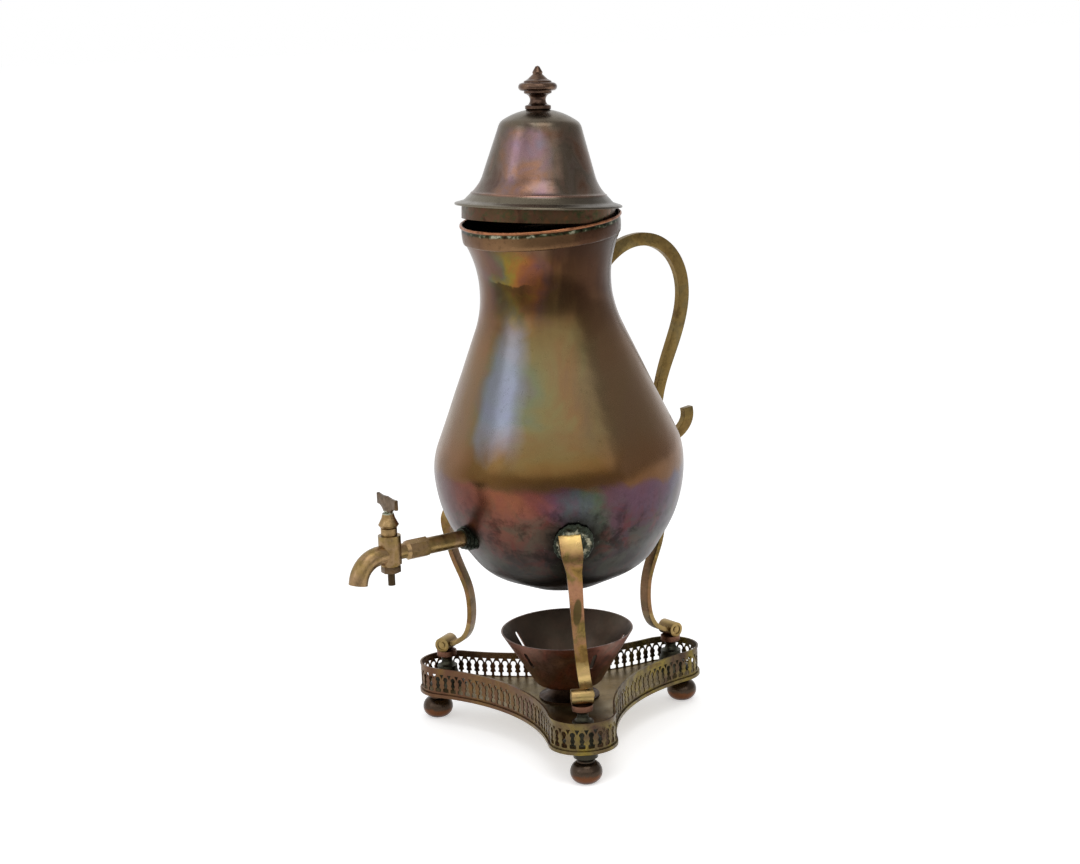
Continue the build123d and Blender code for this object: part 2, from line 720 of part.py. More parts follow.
def finial():
    """Turned finial: base, neck, broad disc, step and pointed tip, with its own stud."""
    seat_r = FINIAL_BASE_R - 0.8
    disc_low = LID_H + FINIAL_DISC_H - FINIAL_DISC_T / 2
    disc_high = LID_H + FINIAL_DISC_H + FINIAL_DISC_T / 2
    base_z = LID_H + FINIAL_BASE_H
    neck_z = LID_H + FINIAL_NECK_H
    tip_z = LID_H + FINIAL_H
    stud_z = LID_H - LID_T - FINIAL_NUT_H - 1.5
    return lathe([
        (0, stud_z), (FINIAL_STUD_R, stud_z), (FINIAL_STUD_R, crown_at(FINIAL_STUD_R)),
        (seat_r / 2, crown_at(seat_r / 2), "arc"), (seat_r, crown_at(seat_r)),
        (FINIAL_BASE_R, crown_at(seat_r) + 0.7), (FINIAL_BASE_R, base_z - 0.4),
        (FINIAL_BASE_R - 0.5, base_z), (FINIAL_NECK_R + 1.4, base_z + 0.5),
        (FINIAL_NECK_R, neck_z, "arc"), (FINIAL_STEP_R - 0.8, disc_low - 2.0),
        (FINIAL_STEP_R, disc_low - 1.5), (FINIAL_STEP_R, disc_low - 0.2), (FINIAL_STEP_R + 1.2, disc_low),
        (FINIAL_DISC_R, disc_low + FINIAL_DISC_T / 2, "arc"), (FINIAL_STEP_R + 1.2, disc_high),
        (FINIAL_STEP_R, disc_high + 0.3), (FINIAL_STEP_R, disc_high + 1.1), (7.0, disc_high + 2.4),
        (FINIAL_TIP_R + 0.3, tip_z - 6.3), (FINIAL_TIP_R - 0.3, tip_z - 5.7),
        (FINIAL_TIP_R, tip_z - 4.4), (1.4, tip_z - 0.6), (0, tip_z),
    ])


def finial_nut():
    """Nut on the finial's stud, tight under the crown."""
    top = crown_at(FINIAL_NUT_R / cos(radians(30)), LID_T)
    nut = extrude(RegularPolygon(FINIAL_NUT_R, 6, major_radius=False), FINIAL_NUT_H)
    return Pos(0, 0, top - FINIAL_NUT_H) * (nut - Cylinder(FINIAL_STUD_R + FIT_GAP, 4 * FINIAL_NUT_H))


# Tap

FROM_FOOT = (Align.CENTER, Align.CENTER, Align.MIN)


def tap_pipe():
    """Pipe from just inside the belly to the socket in the tap's tail."""
    wall = belly_at_tap()
    start = wall - PIPE_INSET
    end = TAP_AXIS - BARREL_R - WAIST_L - TAIL_L + PIPE_SOCKET
    tube = Cylinder(PIPE_R, end - start, align=FROM_FOOT) - Cylinder(PIPE_BORE_R, 3 * (end - start))
    return along_tap(Pos(0, 0, start) * tube)


def belly_at_tap():
    """Distance from the centre line to the front of the belly, at the pipe's height."""
    drop = BELLY_H - PIPE_Z
    upright = BELLY_R - BOWL_ARC_R + sqrt(BOWL_ARC_R ** 2 - drop ** 2)
    return upright - drop * sin(radians(JUG_LEAN))


def pipe_collar():
    """Stepped rings of the soldered boss where the pipe leaves the belly."""
    start = belly_at_tap() - RING_R
    body = None
    for i in range(COLLAR_RINGS):
        length = RING_R + RING_W * (i + 1)
        radius = RING_R - RING_STEP * i
        ring = Pos(0, 0, start) * Cylinder(radius, length, align=FROM_FOOT)
        body = ring if body is None else body + ring
    bore = Cylinder(PIPE_R + FIT_GAP, 2 * TAP_AXIS, align=FROM_FOOT)
    return along_tap(body - bore) - jug_solid(0)


def plug_cone(extra, low, high):
    """Taper of the tap's plug, grown by extra, between two heights about the pipe."""
    span = BARREL_TOP + BARREL_BOTTOM
    slope = (PLUG_TOP_R - PLUG_BOTTOM_R) / span
    low_r = PLUG_BOTTOM_R + slope * (low + BARREL_BOTTOM) + extra
    high_r = PLUG_BOTTOM_R + slope * (high + BARREL_BOTTOM) + extra
    cone = lathe([(0, PIPE_Z + low), (low_r, PIPE_Z + low), (high_r, PIPE_Z + high), (0, PIPE_Z + high)])
    return Pos(0, -TAP_AXIS, 0) * cone


def spout_path():
    """Centre line of the spout, level at first and then bending down."""
    start = TAP_AXIS + SPOUT_STRAIGHT
    straight = Line(point(-TAP_AXIS, PIPE_Z), point(-start, PIPE_Z))
    turn = radians(SPOUT_TURN)

    def bend(angle):
        return point(-start - SPOUT_BEND_R * sin(angle), PIPE_Z - SPOUT_BEND_R * (1 - cos(angle)))

    arc = ThreePointArc(bend(0), bend(turn / 2), bend(turn))
    end = bend(turn)
    lip = Line(end, end + point(-cos(turn), -sin(turn)) * SPOUT_LIP)
    return Wire([straight, arc, lip])


def spout_tube(radius):
    path = spout_path()
    section = Plane(origin=path @ 0, x_dir=(1, 0, 0), z_dir=path % 0) * Circle(radius)
    return sweep(section, path=path)


def tap_body():
    """Cast barrel with its tail towards the urn and its spout, bored for plug and coffee."""
    barrel = Pos(0, -TAP_AXIS, PIPE_Z - BARREL_BOTTOM) * Cylinder(
        BARREL_R, BARREL_TOP + BARREL_BOTTOM, align=FROM_FOOT)
    tail_start = TAP_AXIS - BARREL_R - WAIST_L - TAIL_L
    tail = Pos(0, 0, tail_start) * extrude(RegularPolygon(TAIL_AF / 2, 8, major_radius=False), TAIL_L)
    waist = Pos(0, 0, tail_start + TAIL_L) * Cylinder(WAIST_R, WAIST_L + BARREL_R, align=FROM_FOOT)
    shoulder = Pos(0, 0, tail_start + TAIL_L) * Cone(TAIL_AF / 2, WAIST_R, 2.5, align=FROM_FOOT)
    body = barrel + along_tap(tail + waist + shoulder) + spout_tube(SPOUT_R)
    socket = Cylinder(PIPE_R + FIT_GAP, tail_start + PIPE_SOCKET, align=FROM_FOOT)
    bore = Cylinder(WATERWAY_R, TAP_AXIS, align=FROM_FOOT)
    body = body - along_tap(socket) - along_tap(bore) - spout_tube(SPOUT_BORE_R)
    return body - plug_cone(PLUG_FIT, -2 * BARREL_BOTTOM, 2 * BARREL_TOP)


def tap_plug():
    """Tapered plug with its cross bore, turned head above and screwed end below."""
    collar_z = BARREL_TOP + REST_GAP
    flange_z = collar_z + PLUG_COLLAR_H
    cone_z = flange_z + PLUG_FLANGE_H
    head = lathe([
        (0, collar_z - 1), (PLUG_TOP_R - 0.4, collar_z - 1), (PLUG_TOP_R - 0.4, collar_z),
        (PLUG_COLLAR_R, collar_z), (PLUG_COLLAR_R, flange_z - 0.8), (PLUG_COLLAR_R - 0.7, flange_z - 0.4),
        (PLUG_COLLAR_R + 0.3, flange_z), (PLUG_FLANGE_R, cone_z - 0.4), (PLUG_FLANGE_R - 0.6, cone_z + 0.6),
        (PLUG_CONE_R + 0.7, BARREL_TOP + PLUG_CONE_H - 3.0), (PLUG_CONE_R, BARREL_TOP + PLUG_CONE_H),
        (0, BARREL_TOP + PLUG_CONE_H),
    ])
    end = Pos(0, 0, -BARREL_BOTTOM - TAIL_SCREW_L) * Cylinder(
        TAIL_SCREW_R, TAIL_SCREW_L + 1, align=FROM_FOOT)
    plug = plug_cone(0, -BARREL_BOTTOM + 0.2, BARREL_TOP + 0.2) + Pos(0, -TAP_AXIS, PIPE_Z) * (head + end)
    across = Pos(0, -TAP_AXIS, PIPE_Z) * (Rot(0, 90, 0) * Cylinder(WATERWAY_R, 4 * PLUG_TOP_R))
    return plug - across


def tap_wing():
    """Flat thumb piece on the plug, across the pipe when the tap is shut."""
    low = PIPE_Z + BARREL_TOP + PLUG_CONE_H
    high = low + WING_H
    half = WING_SPAN / 2
    stem = WING_STEM_W / 2
    edges = [
        Line((-stem, 0, low), (stem, 0, low)),
        ThreePointArc((stem, 0, low), (stem + 2.4, 0, low + 2.6), (half - 3, 0, high - WING_TIP_H)),
        Line((half - 3, 0, high - WING_TIP_H), (half, 0, high - WING_TIP_H)),
        Line((half, 0, high - WING_TIP_H), (half, 0, high - 0.6)),
        ThreePointArc((half, 0, high - 0.6), (half / 2, 0, high - 0.9), (0, 0, high - 0.2)),
        ThreePointArc((0, 0, high - 0.2), (-half / 2, 0, high - 0.7), (-half, 0, high)),
        Line((-half, 0, high), (-half, 0, high - WING_TIP_H)),
        Line((-half, 0, high - WING_TIP_H), (-half + 3, 0, high - WING_TIP_H)),
        ThreePointArc((-half + 3, 0, high - WING_TIP_H), (-stem - 2.4, 0, low + 2.6), (-stem, 0, low)),
    ]
    return Pos(0, -TAP_AXIS, 0) * extrude(make_face(Curve(children=edges)), WING_T / 2, both=True)


def key_turned(shape):
    """Turns a piece of the tap's key about the barrel."""
    return shape.rotate(Axis((0, -TAP_AXIS, 0), (0, 0, 1)), KEY_TURN)


def plug_washer():
    z = PIPE_Z - BARREL_BOTTOM - REST_GAP - WASHER_T
    ring = Cylinder(WASHER_R, WASHER_T, align=FROM_FOOT) - Cylinder(TAIL_SCREW_R + FIT_GAP, 4 * WASHER_T)
    return Pos(0, -TAP_AXIS, z) * ring


def plug_nut():
    z = PIPE_Z - BARREL_BOTTOM - REST_GAP - WASHER_T - NUT_T
    nut = extrude(RegularPolygon(NUT_AF / 2, 6, major_radius=False), NUT_T)
    return Pos(0, -TAP_AXIS, z) * (nut - Cylinder(TAIL_SCREW_R + FIT_GAP, 4 * NUT_T))


# Burner bowl

def bowl_solid(inset):
    """Outer or inner form of the bowl, above the tray's plate."""
    wall_angle = atan((BOWL_RIM_R - BOWL_LOW_R) / (BOWL_RIM_H - BOWL_LOW_H))
    shift = inset / cos(wall_angle)
    top = BOWL_RIM_H + (1 if inset > 0 else 0)
    top_r = BOWL_RIM_R + (top - BOWL_RIM_H) * tan(wall_angle) - shift
    low = BOWL_LOW_H + inset
    low_r = BOWL_LOW_R + inset * tan(wall_angle) - shift
    body = lathe([(0, low), (low_r, low), (top_r, top), (0, top)])
    edge = body.edges().group_by(Axis.Z)[0]
    return fillet(edge, BOWL_LOW_ROUND - inset)


def in_tray(shape):
    """Sets a piece of the burner on the plate, a little off the middle."""
    return Pos(BOWL_SIDE, BOWL_BACK, PLATE_TOP + REST_GAP) * shape


def on_foot(shape):
    """Tips the bowl as it is soldered on its foot."""
    turn = radians(BOWL_TILT_TURN)
    return shape.rotate(Axis((0, 0, BOWL_LOW_H), (cos(turn), sin(turn), 0)), BOWL_TILT)


def burner_bowl():
    """Open bowl with slots in its wall that let air to the flame."""
    body = bowl_solid(0) - bowl_solid(BOWL_T)
    middle = (SLOT_LOW + SLOT_HIGH) / 2
    outline_2d = SlotOverall(SLOT_HIGH - SLOT_LOW, SLOT_W, rotation=90)
    slot = Pos(0, BOWL_RIM_R / 2, middle) * (Rot(90, 0, 0) * extrude(outline_2d, BOWL_RIM_R / 2, both=True))
    slots = [slot.rotate(Axis.Z, SLOT_TURN + i * 360 / SLOT_COUNT) for i in range(SLOT_COUNT)]
    return in_tray(on_foot(body - slots))


def bowl_foot():
    """Spun foot under the bowl."""
    sheet = BOWL_T
    mid_r = BOWL_NECK_R + 0.22 * (BOWL_FOOT_R - BOWL_NECK_R)
    mid_h = 0.45 * BOWL_LOW_H
    top = BOWL_LOW_H + sheet
    profile = [
        (BOWL_FOOT_R, 0), (BOWL_FOOT_R, sheet), (mid_r, mid_h, "arc"), (BOWL_NECK_R, BOWL_LOW_H),
        (BOWL_NECK_R, top), (BOWL_NECK_R - sheet, top), (BOWL_NECK_R - sheet, BOWL_LOW_H),
        (mid_r - sheet, mid_h - sheet / 2, "arc"), (BOWL_FOOT_R - 1.5 * sheet, 0),
    ]
    return in_tray(lathe(profile) - on_foot(bowl_solid(0)))


def all_pieces():
    grown = knee_region(PAD_T)
    pieces = {
        "tray_plate": tray_plate(),
        "pedestal_screws": pedestal_screws(),
        **jug_parts(),
        "collar_band": collar_band(),
        "rim_wire": rim_wire(),
        "handle": handle(),
        "lid_dome": seat_lid(lid_dome()),
        "lid_skirt": seat_lid(lid_skirt()),
        "lid_finial": seat_lid(on_crown(finial())),
        "finial_nut": seat_lid(on_crown(finial_nut())),
        "tap_pipe": tap_pipe(),
        "pipe_collar": pipe_collar(),
        "tap_body": tap_body(),
        "tap_plug": key_turned(tap_plug()),
        "tap_wing": key_turned(tap_wing()),
        "plug_washer": plug_washer(),
        "plug_nut": key_turned(plug_nut()),
        "burner_bowl": burner_bowl(),
        "bowl_foot": bowl_foot(),
    }
    strip = gallery_strip()
    for name, turn in STATIONS.items():
        pieces["gallery_" + name] = station(strip, turn)
        pieces["foot_" + name] = station(foot(), turn)
        pieces["pedestal_" + name] = station(pedestal(), turn)
        pieces["leg_" + name] = leg(name, grown)
        pieces["leg_pad_" + name] = leg_pad(turn, grown)
    return pieces


os.makedirs("parts", exist_ok=True)
HANDLE_BOW_H = HANDLE_TOP_H - HANDLE_BOW_DROP
HANDLE_BACK = HANDLE_REACH + HANDLE_DEPTH / 2 - (HANDLE_BOW_H - BELLY_H) * sin(radians(JUG_LEAN))
CENTRE = Pos(0, (SPOUT_REACH - HANDLE_BACK) / 2, 0)
for node, piece in all_pieces().items():
    export_step(CENTRE * piece, "parts/" + node + ".step")
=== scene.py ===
import json
from math import acos, atan2, cos, hypot, pi, radians, sin

import bpy
from mathutils import Matrix, Vector


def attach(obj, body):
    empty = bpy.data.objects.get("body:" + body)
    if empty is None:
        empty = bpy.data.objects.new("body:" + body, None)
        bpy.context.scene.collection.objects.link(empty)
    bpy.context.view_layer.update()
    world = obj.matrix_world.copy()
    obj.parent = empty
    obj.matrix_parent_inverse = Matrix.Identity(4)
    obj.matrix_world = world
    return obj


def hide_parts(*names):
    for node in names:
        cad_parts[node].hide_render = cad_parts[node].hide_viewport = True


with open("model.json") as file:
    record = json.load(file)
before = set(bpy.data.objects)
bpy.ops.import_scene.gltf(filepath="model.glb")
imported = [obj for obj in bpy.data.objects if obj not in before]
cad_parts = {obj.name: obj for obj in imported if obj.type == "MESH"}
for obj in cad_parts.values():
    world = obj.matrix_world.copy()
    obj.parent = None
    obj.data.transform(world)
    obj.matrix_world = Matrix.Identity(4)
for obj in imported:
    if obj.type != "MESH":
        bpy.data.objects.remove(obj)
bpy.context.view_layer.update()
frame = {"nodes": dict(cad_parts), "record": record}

MM = 0.001
SIDES = ("back", "right", "left")
UP = Vector((0.0, 0.0, 1.0))

# Places shared with the solids, in metres. The jug's upright line stands at AXIS_Y.
AXIS_Y = 27.058 * MM
JUG_FOOT_H = 112.0 * MM
BELLY_H = 201.0 * MM
JUG_TOP_H = 372.0 * MM
JUG_LEAN = radians(2.5)
RIM_H = 376.7 * MM
COLLAR_H = 15.0 * MM
COLLAR_TILT = radians(2.6)
COLLAR_TILT_TURN = radians(41.0)
LID_PLACE = Vector((0.246 * MM, -9.076 * MM + AXIS_Y, 384.502 * MM))
LID_TILT = radians(-4.0)
WING_BASE_H = 188.6 * MM
SCREW_TOP_H = 147.0 * MM

# A dark spot on the right strap, and the level direction across that strap.
STRAP_SPOT = Vector((70.0 * MM, AXIS_Y - 34.0 * MM, 113.0 * MM))
STRAP_SIDE = Vector((0.437, 0.900, 0.0))
SPOT_SHIFT = 5.4 * MM

# Where a shade shows on a piece, as its lowest and highest place in metres. The lid's are above its foot.
DRIP_FADES = (306 * MM, 330 * MM)
LID_BRIM = (-3.0 * MM, 7.0 * MM)
LID_RIDGE = (8.4 * MM, 9.0 * MM)
LID_BELL = (9.0 * MM, 50.0 * MM)
STRAP_PINK = (112 * MM, 136 * MM)
STRAP_SCROLL = (56 * MM, 74 * MM)
PEDESTAL_CONE = (20 * MM, 46 * MM)
PEDESTAL_CUP = (48 * MM, 60 * MM)
FOOT_UNDERSIDE = (3 * MM, 6 * MM)
FOOT_BALL = (8 * MM, 14 * MM)
FOOT_NECK = (17 * MM, 24 * MM)

# The level direction, between the handle and the right strap, in which the old heat colours change.
FROM_TAP = (0.585, 0.811, 0.0)


def leaning():
    """The jug's own lean towards the tap, about its widest height."""
    pivot = Vector((0, AXIS_Y, BELLY_H))
    return (Matrix.Translation(pivot) @ Matrix.Rotation(JUG_LEAN, 4, "X")
            @ Matrix.Translation(-pivot) @ Matrix.Translation((0, AXIS_Y, 0)))


def askew_on_neck():
    """The mouth band's tilt on the neck, on top of the jug's lean."""
    low = Vector((0, 0, RIM_H - COLLAR_H))
    tilt = Matrix.Rotation(COLLAR_TILT, 4, Vector((cos(COLLAR_TILT_TURN), sin(COLLAR_TILT_TURN), 0)))
    return leaning() @ Matrix.Translation(low) @ tilt @ Matrix.Translation(-low)


def lid_place():
    return Matrix.Translation(LID_PLACE) @ Matrix.Rotation(LID_TILT, 4, "X")


def middle_of(name):
    """The middle of a solid's box."""
    node = frame["nodes"][name]
    return sum((node.matrix_world @ Vector(corner) for corner in node.bound_box), Vector()) / 8


# Colour and nodes

def linear(code):
    """sRGB hex to the linear colour that a node takes."""
    parts = [int(code[i:i + 2], 16) / 255 for i in (0, 2, 4)]
    return tuple(c / 12.92 if c <= 0.04045 else ((c + 0.055) / 1.055) ** 2.4 for c in parts) + (1.0,)


def per_mm(size):
    """Texture scale at which one feature of the pattern is this many millimetres wide."""
    return 1.0 / (size * MM)


def add(tree, kind, given, out=0):
    """Adds a node and gives one of its outputs.

    given holds its properties, its inputs, and a ramp's stops as (place, shade) pairs, where a shade is
    sRGB hex or one grey level. A value that is another node's output is linked.
    """
    node = tree.nodes.new("ShaderNode" + kind)
    for key, value in given.items():
        if isinstance(value, bpy.types.NodeSocket):
            tree.links.new(value, node.inputs[key])
        elif key == "stops":
            bar = node.color_ramp.elements
            bar.remove(bar[-1])
            for i, (place, shade) in enumerate(value):
                stop = bar.new(place) if i else bar[0]
                stop.position = place
                stop.color = linear(shade) if isinstance(shade, str) else (shade, shade, shade, 1.0)
        elif isinstance(key, str) and hasattr(node, key):
            setattr(node, key, value)
        else:
            node.inputs[key].default_value = value
    return node.outputs[out] if node.outputs else None


def coated(tree, colour, *coats):
    """Lays coats over a colour in turn, each a share or mask with its shade, in hex or from a pattern."""
    for share, shade in coats:
        shade = linear(shade) if isinstance(shade, str) else shade
        colour = add(tree, "Mix", {"data_type": "RGBA", 0: share, 6: colour, 7: shade}, 2)
    return colour


def both(tree, first, *others):
    """A mask where all of these masks meet."""
    for other in others:
        first = add(tree, "Mix", {
            "data_type": "RGBA", "blend_type": "MULTIPLY", 0: 1.0, 6: first, 7: other,
        }, 2)
    return first


def moved_by(tree, value, pattern, amount):
    """A value shifted up and down by a pattern, by this amount at most."""
    shift = add(tree, "Math", {"operation": "MULTIPLY_ADD", 0: pattern, 1: 2 * amount, 2: -amount})
    return add(tree, "Math", {"operation": "ADD", 0: value, 1: shift})


def between(tree, value, low, high, soft):
    """A mask that is 1 from low to high, with soft ends."""
    up = add(tree, "MapRange", {"Value": value, "From Min": low - soft, "From Max": low})
    down = add(tree, "MapRange", {"Value": value, "From Min": high + soft, "From Max": high})
    return both(tree, up, down)


def along(tree, coords, direction, start=0.0):
    """How far along a direction a point is, from a start."""
    reach = add(tree, "VectorMath", {"operation": "DOT_PRODUCT", 0: coords, 1: direction}, "Value")
    return add(tree, "Math", {"operation": "SUBTRACT", 0: reach, 1: start})


def away_from(tree, coords, place):
    return add(tree, "VectorMath", {"operation": "DISTANCE", 0: coords, 1: place}, "Value")


def outward(tree, coords):
    """The level direction from the jug's upright line to a point."""
    flat = add(tree, "VectorMath", {"operation": "MULTIPLY_ADD", 0: coords, 1: (1, 1, 0), 2: (0, -AXIS_Y, 0)})
    return add(tree, "VectorMath", {"operation": "NORMALIZE", 0: flat})


def around_jug(tree, coords):
    """Where round the jug a point is: -1 on the tap's side, 1 on the far side from it."""
    aim = outward(tree, coords)
    return add(tree, "VectorMath", {"operation": "DOT_PRODUCT", 0: aim, 1: FROM_TAP}, "Value")


def as_share(tree, value):
    """A value between -1 and 1 as a share between 0 and 1."""
    return add(tree, "MapRange", {"Value": value, "From Min": -1.0, "From Max": 1.0})


def mask(tree, value, *stops):
    """A soft mask from a value between -1 and 1, given as (value, share) pairs."""
    places = [((place + 1) / 2, share) for place, share in stops]
    return add(tree, "ValToRGB", {"Fac": as_share(tree, value), "stops": places})


def metal(name, surface):
    """A new metal from a function that gives its colour, its roughness and its bumps."""
    material = bpy.data.materials.new(name)
    material.use_nodes = True
    tree = material.node_tree
    tree.nodes.clear()
    coords = add(tree, "TexCoord", {}, "Object")
    colour, roughness, bumps = surface(tree, coords)
    shader = add(tree, "BsdfPrincipled", {
        "Metallic": 1.0, "Base Color": colour, "Roughness": roughness, "Normal": bumps,
    })
    add(tree, "OutputMaterial", {"Surface": shader})
    return material


# Jug: sheet copper raised with a hammer, then heated by the burner for years. To the eye: brown with
# drifting heat colours, olive gold in the middle, and sooty black underneath.

def jug_copper(tree, coords):
    height = add(tree, "SeparateXYZ", {"Vector": coords}, "Z")
    wander = add(tree, "TexNoise", {
        "Vector": coords, "Scale": per_mm(32.0), "Detail": 5.0, "Distortion": 0.8,
    })
    rise = add(tree, "MapRange", {
        "Value": moved_by(tree, height, wander, 12.0 * MM), "From Min": JUG_FOOT_H, "From Max": JUG_TOP_H,
    })
    base = add(tree, "ValToRGB", {"Fac": rise, "stops": (
        (0.0, "282523"), (0.12, "322e2c"), (0.20, "393130"), (0.27, "46363a"), (0.32, "523b36"),
        (0.345, "644630"), (0.37, "604324"), (0.41, "664e2c"), (0.47, "635a3e"), (0.62, "666046"),
        (0.74, "5e4b2e"), (0.84, "5a4026"), (0.92, "583e28"), (0.97, "58453e"), (1.0, "4a362a"),
    )})
    # Heat colours: broad drifting bands of purple, steel blue, green and orange oxide.
    film = add(tree, "TexNoise", {
        "Vector": coords, "Scale": per_mm(95.0), "Detail": 4.0, "Distortion": 0.9, "Roughness": 0.55,
    })
    hues = add(tree, "ValToRGB", {"Fac": film, "stops": (
        (0.30, "664650"), (0.38, "66606c"), (0.45, "667058"), (0.52, "7a6c44"), (0.60, "805434"),
        (0.70, "6a3c38"),
    )})
    strong = add(tree, "ValToRGB", {"Fac": rise, "stops": (
        (0.30, 0.0), (0.40, 0.10), (0.5, 0.45), (0.65, 0.45), (0.8, 0.25), (0.9, 0.3), (1.0, 0.2),
    )})
    around = around_jug(tree, coords)
    turned = moved_by(tree, around, wander, 0.12)
    calm = mask(tree, turned, (0.15, 1.0), (0.45, 0.15))
    # Below the widest height the heat went furthest: orange red near the tap, then purple, blue and green.
    patches = add(tree, "TexNoise", {
        "Vector": coords, "Scale": per_mm(40.0), "Detail": 5.0, "Distortion": 0.6,
    })
    belly = add(tree, "ValToRGB", {"Fac": as_share(tree, moved_by(tree, around, patches, 0.45)), "stops": (
        (0.02, "5c4444"), (0.14, "6c4036"), (0.28, "845038"), (0.40, "78423a"), (0.48, "60404e"),
        (0.55, "4c565a"), (0.63, "4a5a48"), (0.70, "5a4048"), (0.80, "5a4250"), (0.90, "4e4c5c"),
        (0.98, "56484c"),
    )})
    hot = add(tree, "ValToRGB", {"Fac": rise, "stops": (
        (0.10, 0.0), (0.18, 0.25), (0.25, 0.5), (0.30, 0.8), (0.33, 0.8), (0.352, 0.0),
    )})
    # A painted lilac highlight, standing for a softbox's reflection, runs up the tap's side.
    # Beyond it the copper is redder, and brown on the handle's side.
    painted_lilac_highlight = mask(tree, turned, (-0.74, 0.0), (-0.64, 0.6), (-0.44, 0.6), (-0.28, 0.0))
    upright = add(tree, "ValToRGB", {"Fac": rise, "stops": (
        (0.40, 0.0), (0.50, 1.0), (0.68, 0.8), (0.80, 0.0),
    )})
    beyond = mask(tree, turned, (-1.0, 0.6), (-0.80, 0.6), (-0.68, 0.0), (0.3, 0.0), (0.55, 0.5), (1.0, 0.6))
    above = add(tree, "ValToRGB", {"Fac": rise, "stops": ((0.34, 0.0), (0.40, 1.0))})
    colour = coated(
        tree, base, (both(tree, strong, calm), hues), (hot, belly),
        (both(tree, painted_lilac_highlight, upright), "7c8296"), (both(tree, beyond, above), "8a644c"),
    )
    colour = neck_shades(tree, coords, colour, rise, around, wander, height)
    return sooty(tree, coords, colour, rise)


def neck_shades(tree, coords, colour, rise, around, wander, height):
    """Streaky neck with painted shade on its sides and top, and an orange and yellow patch on the tap's side.
    """
    upright = add(tree, "Mapping", {"Vector": coords, "Scale": (1.0, 1.0, 0.16)})
    runs = add(tree, "TexNoise", {"Vector": upright, "Scale": per_mm(7.0), "Detail": 4.0, "Distortion": 0.3})
    # Painted shade: streaks darken the upper neck's sides, most on the handle's side.
    high = add(tree, "ValToRGB", {"Fac": rise, "stops": ((0.68, 0.0), (0.84, 1.0))})
    streaks_and_painted_shade = mask(tree, moved_by(tree, around, runs, 0.5),
                   (-1.0, 0.5), (-0.65, 0.4), (-0.3, 0.0), (0.25, 0.75), (1.0, 0.9))
    # Painted shade at the top of the neck on the handle's side.
    top = add(tree, "ValToRGB", {"Fac": rise, "stops": ((0.88, 0.0), (0.96, 0.75))})
    far = mask(tree, moved_by(tree, around, wander, 0.4), (-0.15, 0.0), (0.3, 1.0))
    swirl = add(tree, "TexNoise", {"Vector": coords, "Scale": per_mm(22.0), "Detail": 3.0, "Distortion": 0.4})
    across = add(tree, "MapRange", {
        "Value": moved_by(tree, around, swirl, 0.55), "From Min": -0.85, "From Max": 0.1,
    })
    glow = add(tree, "ValToRGB", {"Fac": across, "stops": (
        (0.05, "66504e"), (0.20, "5c6048"), (0.34, "7a6a2c"), (0.48, "86582c"), (0.62, "7a4a30"),
        (0.8, "5e3e40"),
    )})
    warm = mask(tree, moved_by(tree, around, wander, 0.5), (-0.95, 0.0), (-0.6, 0.9), (-0.3, 0.9), (0.0, 0.0))
    patch = add(tree, "ValToRGB", {"Fac": rise, "stops": (
        (0.72, 0.0), (0.82, 1.0), (0.91, 1.0), (0.955, 0.3), (1.0, 0.0),
    )})
    # Under the patch an old drip has left a darker tongue with a sharp edge.
    ragged = add(tree, "TexNoise", {
        "Vector": coords, "Scale": per_mm(16.0), "Detail": 3.0, "Distortion": 0.5,
    })
    drip = moved_by(tree, height, ragged, 13.0 * MM)
    tongue = add(tree, "MapRange", {"Value": drip, "From Min": 335.4 * MM, "From Max": 334.4 * MM})
    fading = add(tree, "MapRange", {
        "Value": drip, "From Min": DRIP_FADES[0], "From Max": DRIP_FADES[1], "To Max": 0.8,
    })
    tap_side = mask(tree, around, (-0.85, 0.0), (-0.72, 1.0), (-0.40, 1.0), (-0.20, 0.0))
    return coated(
        tree, colour, (both(tree, high, streaks_and_painted_shade), "36231a"), (both(tree, top, far), "2a1c13"),
        (both(tree, warm, patch), glow), (both(tree, tongue, fading, tap_side), "382a18"),
    )


